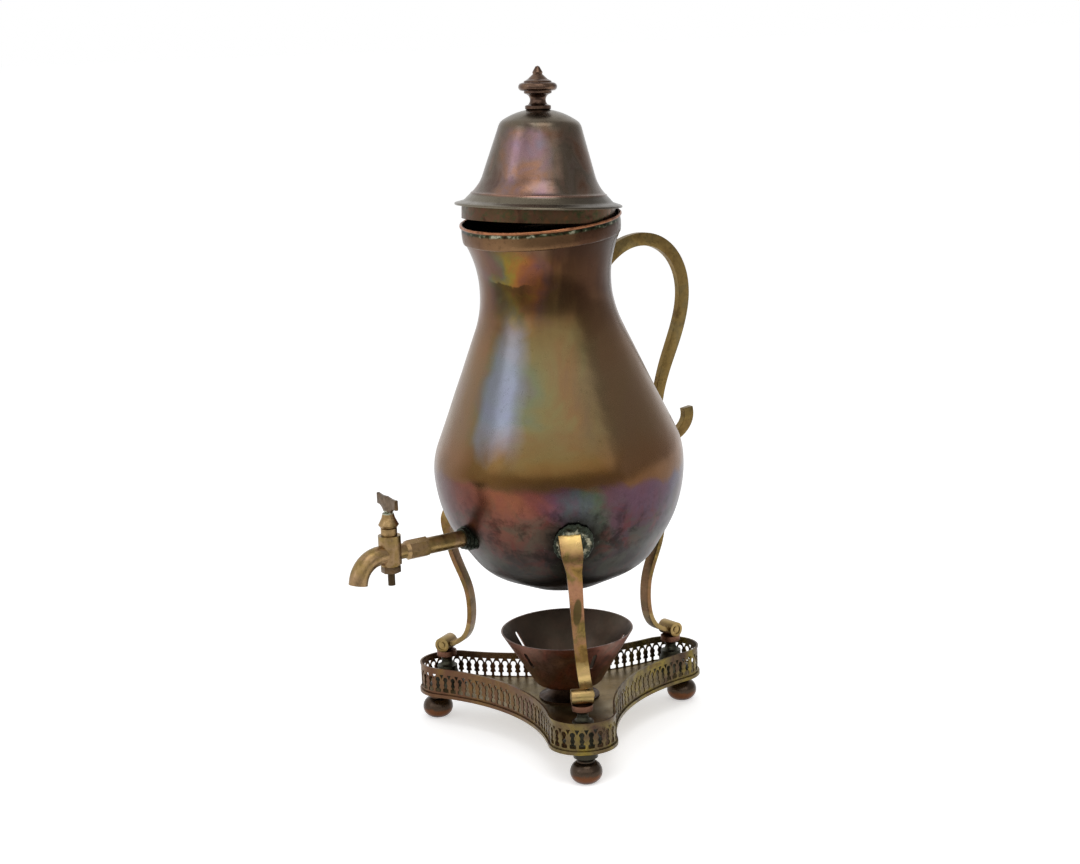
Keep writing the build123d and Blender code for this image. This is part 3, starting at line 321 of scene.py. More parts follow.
def sooty(tree, coords, colour, rise):
    """Spots near the burner, torch marks and small stains, then the jug's polish and its bumps."""
    spots = add(tree, "TexNoise", {
        "Vector": coords, "Scale": per_mm(13.0), "Detail": 9.0, "Distortion": 0.3, "Roughness": 0.72,
    })
    low = add(tree, "ValToRGB", {"Fac": rise, "stops": (
        (0.0, 0.15), (0.07, 0.3), (0.14, 0.8), (0.22, 0.9), (0.28, 0.45), (0.33, 0.0),
    )})
    bare = add(tree, "TexNoise", {
        "Vector": coords, "Scale": per_mm(17.0), "Detail": 6.0, "Distortion": 0.8, "Roughness": 0.65,
    })
    red = add(tree, "ValToRGB", {"Fac": bare, "stops": ((0.50, 0.0), (0.62, 0.6))})
    tarnish = add(tree, "TexNoise", {
        "Vector": coords, "Scale": per_mm(21.0), "Detail": 5.0, "Distortion": 0.6, "Roughness": 0.6,
    })
    olive = add(tree, "ValToRGB", {"Fac": tarnish, "stops": ((0.48, 0.0), (0.60, 0.6))})
    soot = add(tree, "ValToRGB", {"Fac": spots, "stops": ((0.38, 0.7), (0.52, 0.0))})
    colour = coated(tree, colour, (both(tree, red, low), "5a2c26"), (both(tree, olive, low), "42463a"),
                    (both(tree, soot, low), "12100e"))
    # Round each solder pad the sheet is black from the torch, with pale flux specks.
    dust = add(tree, "TexNoise", {
        "Vector": coords, "Scale": per_mm(2.2), "Detail": 4.0, "Distortion": 0.2, "Roughness": 0.7,
    })
    flux = add(tree, "ValToRGB", {"Fac": dust, "stops": ((0.66, 0.0), (0.72, 0.8))})
    for side in SIDES:
        reach = moved_by(tree, away_from(tree, coords, middle_of("leg_pad_" + side)), spots, 10.0 * MM)
        torch = add(tree, "MapRange", {
            "Value": reach, "From Min": 30 * MM, "From Max": 15 * MM, "To Max": 0.85,
        })
        colour = coated(tree, colour, (torch, "16130f"), (both(tree, torch, flux), "8c8c82"))
    stains = add(tree, "TexNoise", {
        "Vector": coords, "Scale": per_mm(5.0), "Detail": 8.0, "Distortion": 0.3, "Roughness": 0.7,
    })
    marks = add(tree, "ValToRGB", {"Fac": stains, "stops": ((0.60, 0.0), (0.75, 0.25))})
    colour = coated(tree, colour, (marks, "2c2018"))
    polish = add(tree, "ValToRGB", {"Fac": rise, "stops": (
        (0.0, 0.40), (0.25, 0.30), (0.40, 0.26), (1.0, 0.25),
    )})
    # Hammer marks about 18 mm wide, and fine scratches.
    beat = add(tree, "TexNoise", {"Vector": coords, "Scale": per_mm(18.0), "Detail": 1.0})
    beaten = add(tree, "Bump", {"Height": beat, "Strength": 0.25, "Distance": 1.2 * MM})
    scratched = add(tree, "Bump", {
        "Height": stains, "Normal": beaten, "Strength": 0.12, "Distance": 0.25 * MM,
    })
    return colour, moved_by(tree, polish, stains, 0.08), scratched


# Lid: the same sheet with a cooler, mauve oxide. To the eye: a painted pink highlight towards the tap, a
# greenish grey brim, a painted highlight line along the ridge above it, smoother than the jug because hands
# polish it.

def lid_copper(tree, coords):
    upward = (lid_place().to_3x3() @ UP).normalized()
    above_foot = along(tree, coords, upward, LID_PLACE.dot(upward))
    around = around_jug(tree, coords)
    film = add(tree, "TexNoise", {"Vector": coords, "Scale": per_mm(30.0), "Detail": 4.0, "Distortion": 1.0})
    base = add(tree, "ValToRGB", {"Fac": film, "stops": (
        (0.30, "5c4a42"), (0.42, "665a50"), (0.50, "5e5246"), (0.58, "6a584c"), (0.68, "644a3a"),
    )})
    # Towards the tap a painted highlight, standing for the front softbox's reflection, lies in pink and
    # lilac, with an orange and a blue drift.
    drift = add(tree, "TexNoise", {"Vector": coords, "Scale": per_mm(26.0), "Detail": 3.0, "Distortion": 0.5})
    pink_painted_highlight = add(tree, "ValToRGB", {"Fac": drift, "stops": (
        (0.34, "746e7a"), (0.44, "84686e"), (0.52, "866c68"), (0.60, "906a56"), (0.70, "826a70"),
    )})
    tap_side = mask(tree, moved_by(tree, around, film, 0.25),
                    (-0.85, 0.0), (-0.62, 0.85), (-0.1, 0.85), (0.15, 0.0))
    level = moved_by(tree, above_foot, film, 2.0 * MM)
    bell = between(tree, level, *LID_BELL, 5.0 * MM)
    crown = add(tree, "MapRange", {"Value": level, "From Min": 50 * MM, "From Max": 60 * MM, "To Max": 0.8})
    # The brim is greenish grey, with painted shade darker away from the tap.
    brim = add(tree, "ValToRGB", {"Fac": as_share(tree, around), "stops": (
        (0.1, "6e6658"), (0.45, "665e50"), (0.8, "4c443a"),
    )})
    # Painted highlight: a pink line along the ridge above the brim, strongest towards the tap; rubbed sets
    # where it fades.
    sheen_and_polish_noise = add(tree, "TexNoise", {"Vector": coords, "Scale": per_mm(9.0), "Detail": 3.0})
    rubbed = mask(tree, moved_by(tree, around, sheen_and_polish_noise, 0.5),
                  (-0.9, 0.1), (-0.5, 0.9), (-0.1, 0.8), (0.5, 0.2), (1.0, 0.1))
    ridge = between(tree, moved_by(tree, above_foot, film, 0.8 * MM), *LID_RIDGE, 0.6 * MM)
    spots = add(tree, "TexNoise", {
        "Vector": coords, "Scale": per_mm(6.0), "Detail": 7.0, "Distortion": 0.3, "Roughness": 0.7,
    })
    marks = add(tree, "ValToRGB", {"Fac": spots, "stops": ((0.55, 0.0), (0.72, 0.4))})
    colour = coated(
        tree, base, (both(tree, tap_side, bell), pink_painted_highlight), (crown, "6a6254"),
        (between(tree, above_foot, *LID_BRIM, 1.2 * MM), brim),
        (both(tree, ridge, rubbed), "987464"), (marks, "32281f"),
    )
    polish = add(tree, "MapRange", {
        "Value": spots, "From Min": 0.3, "From Max": 0.7, "To Min": 0.22, "To Max": 0.34,
    })
    beat = add(tree, "TexNoise", {"Vector": coords, "Scale": per_mm(14.0), "Detail": 1.0})
    beaten = add(tree, "Bump", {"Height": beat, "Strength": 0.12, "Distance": 0.6 * MM})
    scratched = add(tree, "Bump", {
        "Height": spots, "Normal": beaten, "Strength": 0.12, "Distance": 0.25 * MM,
    })
    return colour, polish, scratched


# Band of the mouth: copper rolled over a wire. To the eye: a painted highlight on worn copper along its
# rolled edge, painted black shade, green dirt and pale painted glints in the crease under it, then brown,
# with painted shade away from the tap.

def band_copper(tree, coords):
    mouth = askew_on_neck()
    upward = (mouth.to_3x3() @ UP).normalized()
    foot = (mouth @ Vector((0, 0, RIM_H - COLLAR_H))).dot(upward)
    grain = add(tree, "TexNoise", {
        "Vector": coords, "Scale": per_mm(3.0), "Detail": 6.0, "Distortion": 0.3, "Roughness": 0.7,
    })
    level = moved_by(tree, along(tree, coords, upward, foot), grain, 0.9 * MM)
    rise = add(tree, "MapRange", {"Value": level, "From Min": 0.0, "From Max": COLLAR_H})
    drift = add(tree, "TexNoise", {"Vector": coords, "Scale": per_mm(22.0), "Detail": 4.0, "Distortion": 0.6})
    turned = as_share(tree, moved_by(tree, around_jug(tree, coords), drift, 0.4))
    # Painted shade: the band darkens away from the tap.
    band = add(tree, "ValToRGB", {"Fac": turned, "stops": (
        (0.05, "644934"), (0.3, "7c5f42"), (0.5, "70543a"), (0.7, "4c3426"), (0.95, "3e2a1e"),
    )})
    # Painted shade: the crease under the rolled edge is painted black, with green dirt and pale painted
    # glints.
    crease = add(tree, "ValToRGB", {"Fac": rise, "stops": (
        (0.66, 0.0), (0.74, 0.95), (0.81, 0.95), (0.86, 0.0),
    )})
    crease_mottle = add(tree, "TexNoise", {
        "Vector": coords, "Scale": per_mm(5.0), "Detail": 5.0, "Distortion": 0.5, "Roughness": 0.6,
    })
    crease_dirt_shade_and_glints = add(tree, "ValToRGB", {"Fac": crease_mottle, "stops": (
        (0.40, "14140e"), (0.50, "2c3422"), (0.58, "4a5440"), (0.64, "9a9a84"),
    )})
    # Painted highlight along the rolled edge, in the colours of worn copper.
    edge = add(tree, "ValToRGB", {"Fac": rise, "stops": ((0.86, 0.0), (0.91, 1.0))})
    sheen_and_polish_noise = add(tree, "TexNoise", {"Vector": coords, "Scale": per_mm(8.0), "Detail": 4.0, "Distortion": 0.4})
    painted_sheen = add(tree, "ValToRGB", {"Fac": sheen_and_polish_noise, "stops": (
        (0.38, "7a4e36"), (0.52, "a8704e"), (0.64, "8c5a3e"),
    )})
    specks = add(tree, "ValToRGB", {"Fac": grain, "stops": ((0.56, 0.0), (0.72, 0.5))})
    colour = coated(tree, band, (crease, crease_dirt_shade_and_glints), (edge, painted_sheen), (specks, "2a2018"))
    polish = add(tree, "MapRange", {
        "Value": grain, "From Min": 0.3, "From Max": 0.7, "To Min": 0.24, "To Max": 0.42,
    })
    knocks = add(tree, "TexNoise", {"Vector": coords, "Scale": per_mm(12.0), "Detail": 2.0})
    return colour, polish, add(tree, "Bump", {"Height": knocks, "Strength": 0.35, "Distance": 0.8 * MM})


# Brass and bronze. Where things were handled, soldered or sooted, they differ from place to place.

def aged_metal(name, shades, size, rough, speck="1c1510", speck_size=2.2, speck_share=0.35, dent=0.15,
               marks=None):
    """Old brass or bronze: drifting tarnish, dark specks, uneven polish and a fine beaten grain.

    Its shades drift in patches of this size, in millimetres. marks, where given, lays further coats over it.
    """
    def surface(tree, coords):
        drift = add(tree, "TexNoise", {
            "Vector": coords, "Scale": per_mm(size), "Detail": 4.0, "Distortion": 0.6,
        })
        step = 0.44 / (len(shades) - 1)
        colour = add(tree, "ValToRGB", {
            "Fac": drift, "stops": [(0.28 + step * i, shade) for i, shade in enumerate(shades)],
        })
        grain = add(tree, "TexNoise", {
            "Vector": coords, "Scale": per_mm(speck_size), "Detail": 5.0, "Distortion": 0.2,
            "Roughness": 0.65,
        })
        specks = add(tree, "ValToRGB", {"Fac": grain, "stops": ((0.5, 0.0), (0.72, speck_share))})
        colour = coated(tree, colour, (specks, speck))
        if marks:
            colour = marks(tree, coords, colour)
        sheen_and_polish_noise = add(tree, "TexNoise", {"Vector": coords, "Scale": per_mm(size * 0.35), "Detail": 5.0})
        polish = add(tree, "MapRange", {
            "Value": sheen_and_polish_noise, "From Min": 0.3, "From Max": 0.7, "To Min": rough - 0.09, "To Max": rough + 0.12,
        })
        return colour, polish, add(tree, "Bump", {"Height": grain, "Strength": dent, "Distance": 0.4 * MM})
    return metal(name, surface)


def strap_marks(tree, coords, colour):
    """Painted yellow highlights on the knees and the scroll, and painted shade on faces turned to the jug."""
    # Painted highlight over each knee.
    for side in SIDES:
        knee = middle_of("leg_pad_" + side) + Vector((0, 0, 3 * MM))
        near = add(tree, "MapRange", {
            "Value": away_from(tree, coords, knee), "From Min": 17 * MM, "From Max": 8 * MM, "To Max": 0.9,
        })
        colour = coated(tree, colour, (near, "d0b272"))
    # The right strap is pink below its knee.
    drift = add(tree, "TexNoise", {"Vector": coords, "Scale": per_mm(8.0), "Detail": 3.0})
    height = moved_by(tree, along(tree, coords, UP), drift, 9 * MM)
    by_spot = add(tree, "MapRange", {
        "Value": away_from(tree, coords, STRAP_SPOT), "From Min": 60 * MM, "From Max": 45 * MM,
    })
    pink = both(tree, between(tree, height, *STRAP_PINK, 5 * MM), by_spot)
    # Painted highlight on the scroll.
    scroll = between(tree, height, *STRAP_SCROLL, 3 * MM)
    half = add(tree, "Math", {"operation": "MULTIPLY", 0: pink, 1: 0.5})
    most = add(tree, "Math", {"operation": "MULTIPLY", 0: scroll, 1: 0.6})
    # An olive oval spot stands half way down it.
    across = along(tree, coords, STRAP_SIDE, STRAP_SPOT.dot(STRAP_SIDE) - SPOT_SHIFT)
    narrow = add(tree, "Math", {"operation": "MULTIPLY", 0: across, 1: 3.8})
    oval = add(tree, "CombineXYZ", {"X": narrow, "Z": along(tree, coords, UP, STRAP_SPOT.z)})
    ragged = add(tree, "TexNoise", {"Vector": coords, "Scale": per_mm(5.0), "Detail": 3.0})
    from_middle = add(tree, "VectorMath", {"operation": "LENGTH", 0: oval}, "Value")
    reach = moved_by(tree, from_middle, ragged, 1.5 * MM)
    spot = add(tree, "MapRange", {"Value": reach, "From Min": 12 * MM, "From Max": 10 * MM, "To Max": 0.85})
    # Painted shade on the faces turned towards the jug.
    facing = add(tree, "VectorMath", {
        "operation": "DOT_PRODUCT", 0: add(tree, "TexCoord", {}, "Normal"), 1: coords,
    }, "Value")
    painted_shade_inward = add(tree, "MapRange", {"Value": facing, "From Min": 0.02, "From Max": -0.05, "To Max": 0.6})
    return coated(tree, colour, (half, "a07058"), (most, "b09864"), (spot, "4a4426"), (painted_shade_inward, "4c3a28"))


def plug_marks(tree, coords, colour):
    """Tin under the thumb piece, and a black screw below the barrel."""
    height = along(tree, coords, UP)
    flow = add(tree, "TexNoise", {"Vector": coords, "Scale": per_mm(3.0), "Detail": 3.0})
    tin = between(tree, moved_by(tree, height, flow, 1.0 * MM),
                  WING_BASE_H - 0.6 * MM, WING_BASE_H + 0.5 * MM, 0.5 * MM)
    screw = add(tree, "MapRange", {
        "Value": height, "From Min": SCREW_TOP_H, "From Max": SCREW_TOP_H - 1.0 * MM, "To Max": 0.9,
    })
    return coated(tree, colour, (tin, "a8ac98"), (screw, "2a221a"))


def solder_marks(tree, coords, colour):
    """A pale painted highlight in a rim close round each strap's knee."""
    ragged = add(tree, "TexNoise", {"Vector": coords, "Scale": per_mm(4.0), "Detail": 4.0, "Distortion": 0.6})
    sheen_and_polish_noise = add(tree, "TexNoise", {"Vector": coords, "Scale": per_mm(3.0), "Detail": 3.0})
    painted_sheen = add(tree, "ValToRGB", {"Fac": sheen_and_polish_noise, "stops": ((0.40, 0.1), (0.55, 0.9))})
    for side in SIDES:
        reach = moved_by(tree, away_from(tree, coords, middle_of("leg_pad_" + side)), ragged, 3.0 * MM)
        rim = between(tree, reach, 9.6 * MM, 11.2 * MM, 1.0 * MM)
        colour = coated(tree, colour, (both(tree, rim, painted_sheen), "aaa68e"))
    return colour


def ragged_height(tree, coords):
    """Height with an uneven edge, for bands of colour round turned pieces."""
    edge = add(tree, "TexNoise", {"Vector": coords, "Scale": per_mm(5.0), "Detail": 3.0})
    return moved_by(tree, along(tree, coords, UP), edge, 2.0 * MM)


def pedestal_marks(tree, coords, colour):
    """Green on the cone by the tray, red under the scroll."""
    height = ragged_height(tree, coords)
    return coated(tree, colour, (between(tree, height, *PEDESTAL_CONE, 1 * MM), "403f34"),
                  (between(tree, height, *PEDESTAL_CUP, 1 * MM), "7a5644"))


def foot_marks(tree, coords, colour):
    """Grey brown round the ball, orange brown under it, grey green at its neck."""
    height = ragged_height(tree, coords)
    return coated(tree, colour, (between(tree, height, *FOOT_BALL, 4 * MM), "463a30"),
                  (between(tree, height, *FOOT_UNDERSIDE, 2 * MM), "64402a"),
                  (between(tree, height, *FOOT_NECK, 2 * MM), "36332b"))


def bowl_marks(tree, coords, colour):
    """Grey brown soot inside, where the wall faces the jug's upright line."""
    facing = add(tree, "VectorMath", {
        "operation": "DOT_PRODUCT", 0: add(tree, "TexCoord", {}, "Normal"), 1: outward(tree, coords),
    }, "Value")
    soot = add(tree, "MapRange", {"Value": facing, "From Min": 0.1, "From Max": -0.1, "To Max": 0.9})
    return coated(tree, colour, (soot, "4a4238"))


def gallery_marks(tree, coords, colour):
    """Redder towards the tap."""
    drift = add(tree, "TexNoise", {"Vector": coords, "Scale": per_mm(30.0), "Detail": 3.0})
    side = moved_by(tree, around_jug(tree, coords), drift, 0.4)
    return coated(tree, colour, (mask(tree, side, (-1.0, 0.7), (-0.5, 0.6), (0.0, 0.0)), "664634"))


jug_metal = metal("patinated_beaten_copper", jug_copper)
lid_metal = metal("mauve_oxidised_copper", lid_copper)
band_metal = metal("rolled_copper_band", band_copper)
# Copper ring inside the mouth. To the eye: brown and dirty, with large green specks.
skirt_metal = aged_metal("brown_copper_skirt", ("3c2c20", "5a4030", "4e3e2c", "6a442c"), 14.0, 0.34,
                         "2c4428", 5.0, 0.8, 0.3)
# Turned bronze. To the eye: nearly black, bright where fingers hold it.
finial_metal = aged_metal("handled_dark_bronze", ("40302a", "5c483c", "7a6250"), 9.0, 0.25,
                          "1c1410", 2.4, 0.3, 0.06)
# Cast brass bar. To the eye: dull, with an olive skin.
handle_metal = aged_metal("olive_cast_brass", ("67512f", "80693d", "73623f", "8d7847"), 22.0, 0.36,
                          "2a2214", 2.4, 0.4, 0.25)
# Bent and filed brass strap. To the eye: yellow with pink and olive drifts, fairly bright.
strap_metal = aged_metal("worn_strap_brass", ("5e4a28", "86693a", "8c684a", "6c5c34", "9c8048"), 17.0, 0.33,
                         "241c12", 2.6, 0.4, 0.2, strap_marks)
# Turned brass that is never cleaned. To the eye: dark, dull, banded green and red.
pedestal_metal = aged_metal("dark_turned_brass", ("423624", "5b4c31", "6a5739"), 9.0, 0.38,
                            "1a150e", 2.2, 0.4, marks=pedestal_marks)
# Turned and polished brass. To the eye: red brown, smooth, with soft highlights.
foot_metal = aged_metal("red_brown_turned_brass", ("2e2420", "4a372c", "704a32"), 10.0, 0.30,
                        "1a1410", 2.4, 0.4, 0.06, foot_marks)
# Rolled sheet brass. To the eye: flat olive brown, with little gloss.
tray_metal = aged_metal("olive_sheet_brass", ("706244", "867550", "7e6942", "927c54"), 40.0, 0.40,
                        "2a2418", 3.2, 0.35, 0.12)
# Strip brass, pierced by hand. To the eye: olive and brown drifts with a dark grain.
gallery_metal = aged_metal("pierced_brass_strip", ("42322e", "584836", "6a5c3c", "7c6c34", "523a2e"),
                           20.0, 0.38, "1e1810", 2.6, 0.5, 0.25, gallery_marks)
# Cast brass, rubbed by cloths. To the eye: warm yellow brown, half bright.
tap_metal = aged_metal("rubbed_tap_brass", ("70603f", "90784b", "9c805e", "846c3f"), 14.0, 0.34,
                       "2a2014", 2.2, 0.35, 0.15)
# Turned brass plug. To the eye: as the tap, a little yellower, with a bead of tin under the thumb piece.
plug_metal = aged_metal("rubbed_plug_brass", ("745e3c", "967a50", "a2865e", "866e46"), 12.0, 0.34,
                        "2a2014", 2.2, 0.35, 0.15, plug_marks)
# Thumb piece and nut: the same brass. To the eye: browner, with dirt left where no finger rubs.
wing_metal = aged_metal("brown_key_brass", ("42341f", "5c4830", "6a5640", "4c3e28"), 9.0, 0.36,
                        "1e160e", 2.2, 0.5, 0.2, plug_marks)
# Ring under the burner bowl, in copper. To the eye: brown black, painted shade for the shadow under the bowl.
bowl_foot_metal = aged_metal("bowl_foot_in_painted_shade", ("382a20", "4c382a", "423028"), 12.0, 0.42,
                             "120d0a", 2.6, 0.4, 0.1)
# Spun copper bowl. To the eye: maroon brown outside, grey with soot inside.
burner_metal = aged_metal("maroon_burner_copper", ("604740", "885748", "765a4c", "987866"), 24.0, 0.40,
                          "1a120e", 3.0, 0.4, 0.12, bowl_marks)
# Tin solder as it ran. To the eye: nearly black green, dull and lumpy, with a pale painted highlight round
# each knee.
solder_metal = aged_metal("grey_tin_solder", ("1a1a15", "2a2b24", "383e34", "24261f", "5e665a"), 5.0, 0.42,
                          "10100c", 1.6, 0.5, 0.5, solder_marks)
# Drawn iron wire inside the rolled edge. To the eye: plain dark grey, where it shows at all.
iron_metal = aged_metal("iron_rim_wire", ("3a3632", "4a4642"), 6.0, 0.4)

SLOT_METAL = {
    "body_copper": jug_metal,
    "lid_copper": lid_metal,
    "collar_copper": band_metal,
    "finial_bronze": finial_metal,
    "handle_brass": handle_metal,
    "leg_brass": strap_metal,
    "pedestal_bronze": pedestal_metal,
    "foot_bronze": foot_metal,
    "tray_brass": tray_metal,
    "gallery_brass": gallery_metal,
    "tap_brass": tap_metal,
    "burner_copper": burner_metal,
    "solder": solder_metal,
    "screw_brass": pedestal_metal,
    "hidden_iron": iron_metal,
}
OWN_METAL = {
    "lid_skirt": skirt_metal,
    "bowl_foot": bowl_foot_metal,
    "tap_plug": plug_metal,
    "tap_wing": wing_metal,
    "plug_nut": wing_metal,
}
SLOT_OF = {row["node"]: row["material_slot"] for row in frame["record"]["subparts"]}

for name, node in frame["nodes"].items():
    node.data.materials.clear()
    node.data.materials.append(OWN_METAL.get(name, SLOT_METAL[SLOT_OF[name]]))


# Turned sheet pieces. Profiles are (radius, height) points in millimetres.

SHEET = 1.0
FLOOR_R, FLOOR_H = 26.46, 113.3
BOWL_ARC_R, BOWL_ARC_AT = 94.0, (-5.0, 201.0)
SHOULDER_R, SHOULDER_AT = 48.0, (41.0, 201.0)
NECK_R, NECK_H = 46.2, 328.0
NECK_ARC_R, FLARE_ARC_R, FLARE = 74.0, 81.0, 8.1
CONE_ANGLE = radians(22.65)
MOUTH_R, MOUTH_H = 54.3, 365.8


def arc(centre, radius, start, end, count):
    """Points on an arc, the first left out."""
    turns = [start + (end - start) * i / count for i in range(1, count + 1)]
    return [(centre[0] + radius * cos(turn), centre[1] + radius * sin(turn)) for turn in turns]


def straight(first, last, count):
    """Points on a straight run, the first left out."""
    return [(first[0] + (last[0] - first[0]) * i / count, first[1] + (last[1] - first[1]) * i / count)
            for i in range(1, count + 1)]


def three_point(first, middle, last, count):
    """Points on the arc through three points, the first left out."""
    (ax, ay), (bx, by), (cx, cy) = first, middle, last
    a, b, c = (x * x + y * y for x, y in (first, middle, last))
    scale = 2 * (ax * (by - cy) + bx * (cy - ay) + cx * (ay - by))
    centre = ((a * (by - cy) + b * (cy - ay) + c * (ay - by)) / scale,
              (a * (cx - bx) + b * (ax - cx) + c * (bx - ax)) / scale)
    radius = hypot(ax - centre[0], ay - centre[1])
    start = Vector((ax - centre[0], ay - centre[1]))
    end = Vector((cx - centre[0], cy - centre[1]))
    turn = atan2(start.y, start.x)
    return arc(centre, radius, turn, turn - start.angle_signed(end), count)


def jug_wall(inset):
    """The jug from the middle of its floor to its mouth, moved in by inset."""
    profile = [(0, FLOOR_H + inset), (FLOOR_R - 0.2 * inset, FLOOR_H + inset)]
    # The rounded bottom: sloping, then curved, then steep.
    profile += straight(profile[-1], (48.93 - 0.4 * inset, 123.31 + 0.91 * inset), 6)
    profile += three_point(profile[-1], (58.64 - 0.65 * inset, 129.43 + 0.76 * inset),
                           (66.21 - 0.84 * inset, 138.06 + 0.55 * inset), 8)
    profile += straight(profile[-1], (73.84 - 0.84 * inset, 149.8 + 0.55 * inset), 3)
    profile += arc(BOWL_ARC_AT, BOWL_ARC_R - inset, radians(-33), 0, 14)
    profile += arc(SHOULDER_AT, SHOULDER_R - inset, 0, CONE_ANGLE, 8)
    # The cone runs into the hollow curve of the neck, which opens to the mouth.
    hollow = NECK_ARC_R + inset
    hollow_at = (NECK_R + NECK_ARC_R, NECK_H)
    cone_end = (hollow_at[0] - hollow * cos(CONE_ANGLE), hollow_at[1] - hollow * sin(CONE_ANGLE))
    profile += straight(profile[-1], cone_end, 16)
    profile += arc(hollow_at, hollow, pi + CONE_ANGLE, pi, 7)
    flare_turn = acos((FLARE_ARC_R - FLARE) / FLARE_ARC_R)
    profile += arc((NECK_R + FLARE_ARC_R, NECK_H), FLARE_ARC_R + inset, pi, pi - flare_turn, 9)
    return profile


def chosen(piece):
    """Makes a piece the only one that the next operators act on."""
    bpy.ops.object.select_all(action="DESELECT")
    piece.select_set(True)
    bpy.context.view_layer.objects.active = piece


def spun(name, profile, sides):
    """Spins a profile about the upright line at the origin."""
    bpy.ops.object.select_all(action="DESELECT")
    bpy.ops.mesh.primitive_plane_add(size=MM)
    piece = bpy.context.active_object
    piece.name = name
    bpy.ops.object.mode_set(mode="EDIT")
    bpy.ops.mesh.select_all(action="SELECT")
    bpy.ops.mesh.merge(type="CENTER")
    bpy.ops.transform.translate(value=(profile[0][0] * MM, 0, profile[0][1] * MM))
    for here, there in zip(profile, profile[1:]):
        step = ((there[0] - here[0]) * MM, 0, (there[1] - here[1]) * MM)
        bpy.ops.mesh.extrude_region_move(TRANSFORM_OT_translate={"value": step})
    bpy.ops.mesh.select_all(action="SELECT")
    bpy.ops.mesh.spin(steps=sides, angle=2 * pi, center=(0, 0, 0), axis=(0, 0, 1))
    bpy.ops.mesh.select_all(action="SELECT")
    bpy.ops.mesh.remove_doubles(threshold=0.01 * MM)
    bpy.ops.mesh.normals_make_consistent(inside=False)
    bpy.ops.object.mode_set(mode="OBJECT")
    return piece


def settle(piece, place):
    """Puts a piece at its place for good, and leaves its object at the origin."""
    chosen(piece)
    piece.matrix_world = place
    bpy.ops.object.transform_apply(location=True, rotation=True, scale=True)


def apply_all(piece):
    chosen(piece)
    for modifier in list(piece.modifiers):
        bpy.ops.object.modifier_apply(modifier=modifier.name)


def uneven(piece, size, depth):
    """Pushes the surface in and out a little, as hand work is. Size and depth are in millimetres."""
    pattern = bpy.data.textures.new(piece.name + "_unevenness", "CLOUDS")
    pattern.noise_scale = size * MM
    pattern.noise_depth = 1
    bump = piece.modifiers.new("unevenness", "DISPLACE")
    bump.texture = pattern
    bump.strength = depth * MM
    bump.mid_level = 0.5
    bump.texture_coords = "LOCAL"
    apply_all(piece)


def smooth(piece, angle):
    chosen(piece)
    bpy.ops.object.shade_smooth_by_angle(angle=radians(angle))


def jug_shell():
    """Hand-raised jug: one sheet with the shallow hollows of the hammer."""
    profile = jug_wall(0) + [(MOUTH_R, MOUTH_H), (MOUTH_R - SHEET, MOUTH_H)] + jug_wall(SHEET)[::-1]
    piece = spun("jug_shell", profile, 144)
    uneven(piece, 34.0, 0.7)
    settle(piece, leaning())
    smooth(piece, 50)
    piece.data.materials.append(jug_metal)
    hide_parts(*[name for name in frame["nodes"] if name.startswith("jug_")])
    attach(piece, "urn")


def mouth_band():
    """Band of the mouth with its edge rolled over the wire, a little battered."""
    roll_at, roll_r = (55.45, 375.55), 1.15
    outside = [(54.35, 363.2), (54.9, 363.6), (55.3, 364.6), (55.5, 367.0), (55.6, 370.0), (55.5, 372.4),
               (55.15, 373.6), (55.1, 374.2)]
    inside = [(54.3, 373.0), (54.3, 369.0), (54.3, 366.0), (54.35, 363.2)]
    piece = spun("mouth_band", outside + arc(roll_at, roll_r, radians(-95), pi, 14) + inside, 144)
    uneven(piece, 13.0, 0.6)
    settle(piece, askew_on_neck())
    smooth(piece, 60)
    piece.data.materials.append(band_metal)
    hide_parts("collar_band")
    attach(piece, "urn")


def lid_bell():
    """Spun bell of the lid, with a small ridge above its flared brim."""
    outside = [(0, 66.6)]
    outside += three_point((0, 66.6), (13.38, 64.61), (25.61, 58.81), 10)
    outside += three_point((25.61, 58.81), (27.58, 56.94), (28.8, 54.51), 5)
    outside += straight((28.8, 54.51), (38.91, 21.44), 9)
    outside += three_point((38.91, 21.44), (41.89, 14.76), (46.39, 9.0), 7)
    outside += [(46.75, 8.95), (47.1, 8.75), (47.3, 8.4), (47.45, 7.95)]
    outside += straight((47.45, 7.95), (51.4, 3.99), 3)
    outside += [(52.2, 3.34), (54.0, 2.78), (57.6, 1.68), (58.3, 1.2), (58.5, 0.7), (58.3, 0.15), (57.6, 0.2)]
    inside = [(51.52, 2.59), (45.75, 8.36), (41.12, 14.3), (38.05, 21.18), (27.94, 54.24), (26.85, 56.4),
              (25.11, 58.07), (13.12, 63.75), (0, 65.7)]
    piece = spun("lid_bell", outside + inside, 128)
    uneven(piece, 26.0, 0.5)
    settle(piece, lid_place())
    smooth(piece, 40)
    piece.data.materials.append(lid_metal)
    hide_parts("lid_dome")
    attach(piece, "lid")


# Pieces that start as a solid's own form

def copied(node, name):
    """A piece that starts as a solid's own mesh, merged, so that it can be worked on."""
    piece = bpy.data.objects.new(name, frame["nodes"][node].data.copy())
    bpy.context.scene.collection.objects.link(piece)
    chosen(piece)
    if piece.data.has_custom_normals:
        bpy.ops.mesh.customdata_custom_splitnormals_clear()
    bpy.ops.object.mode_set(mode="EDIT")
    bpy.ops.mesh.select_all(action="SELECT")
    bpy.ops.mesh.remove_doubles(threshold=0.005 * MM)
    bpy.ops.mesh.dissolve_limited(angle_limit=radians(0.6))
    bpy.ops.object.mode_set(mode="OBJECT")
    return piece


def stand_for(piece, node, body):
    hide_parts(node)
    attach(piece, body)


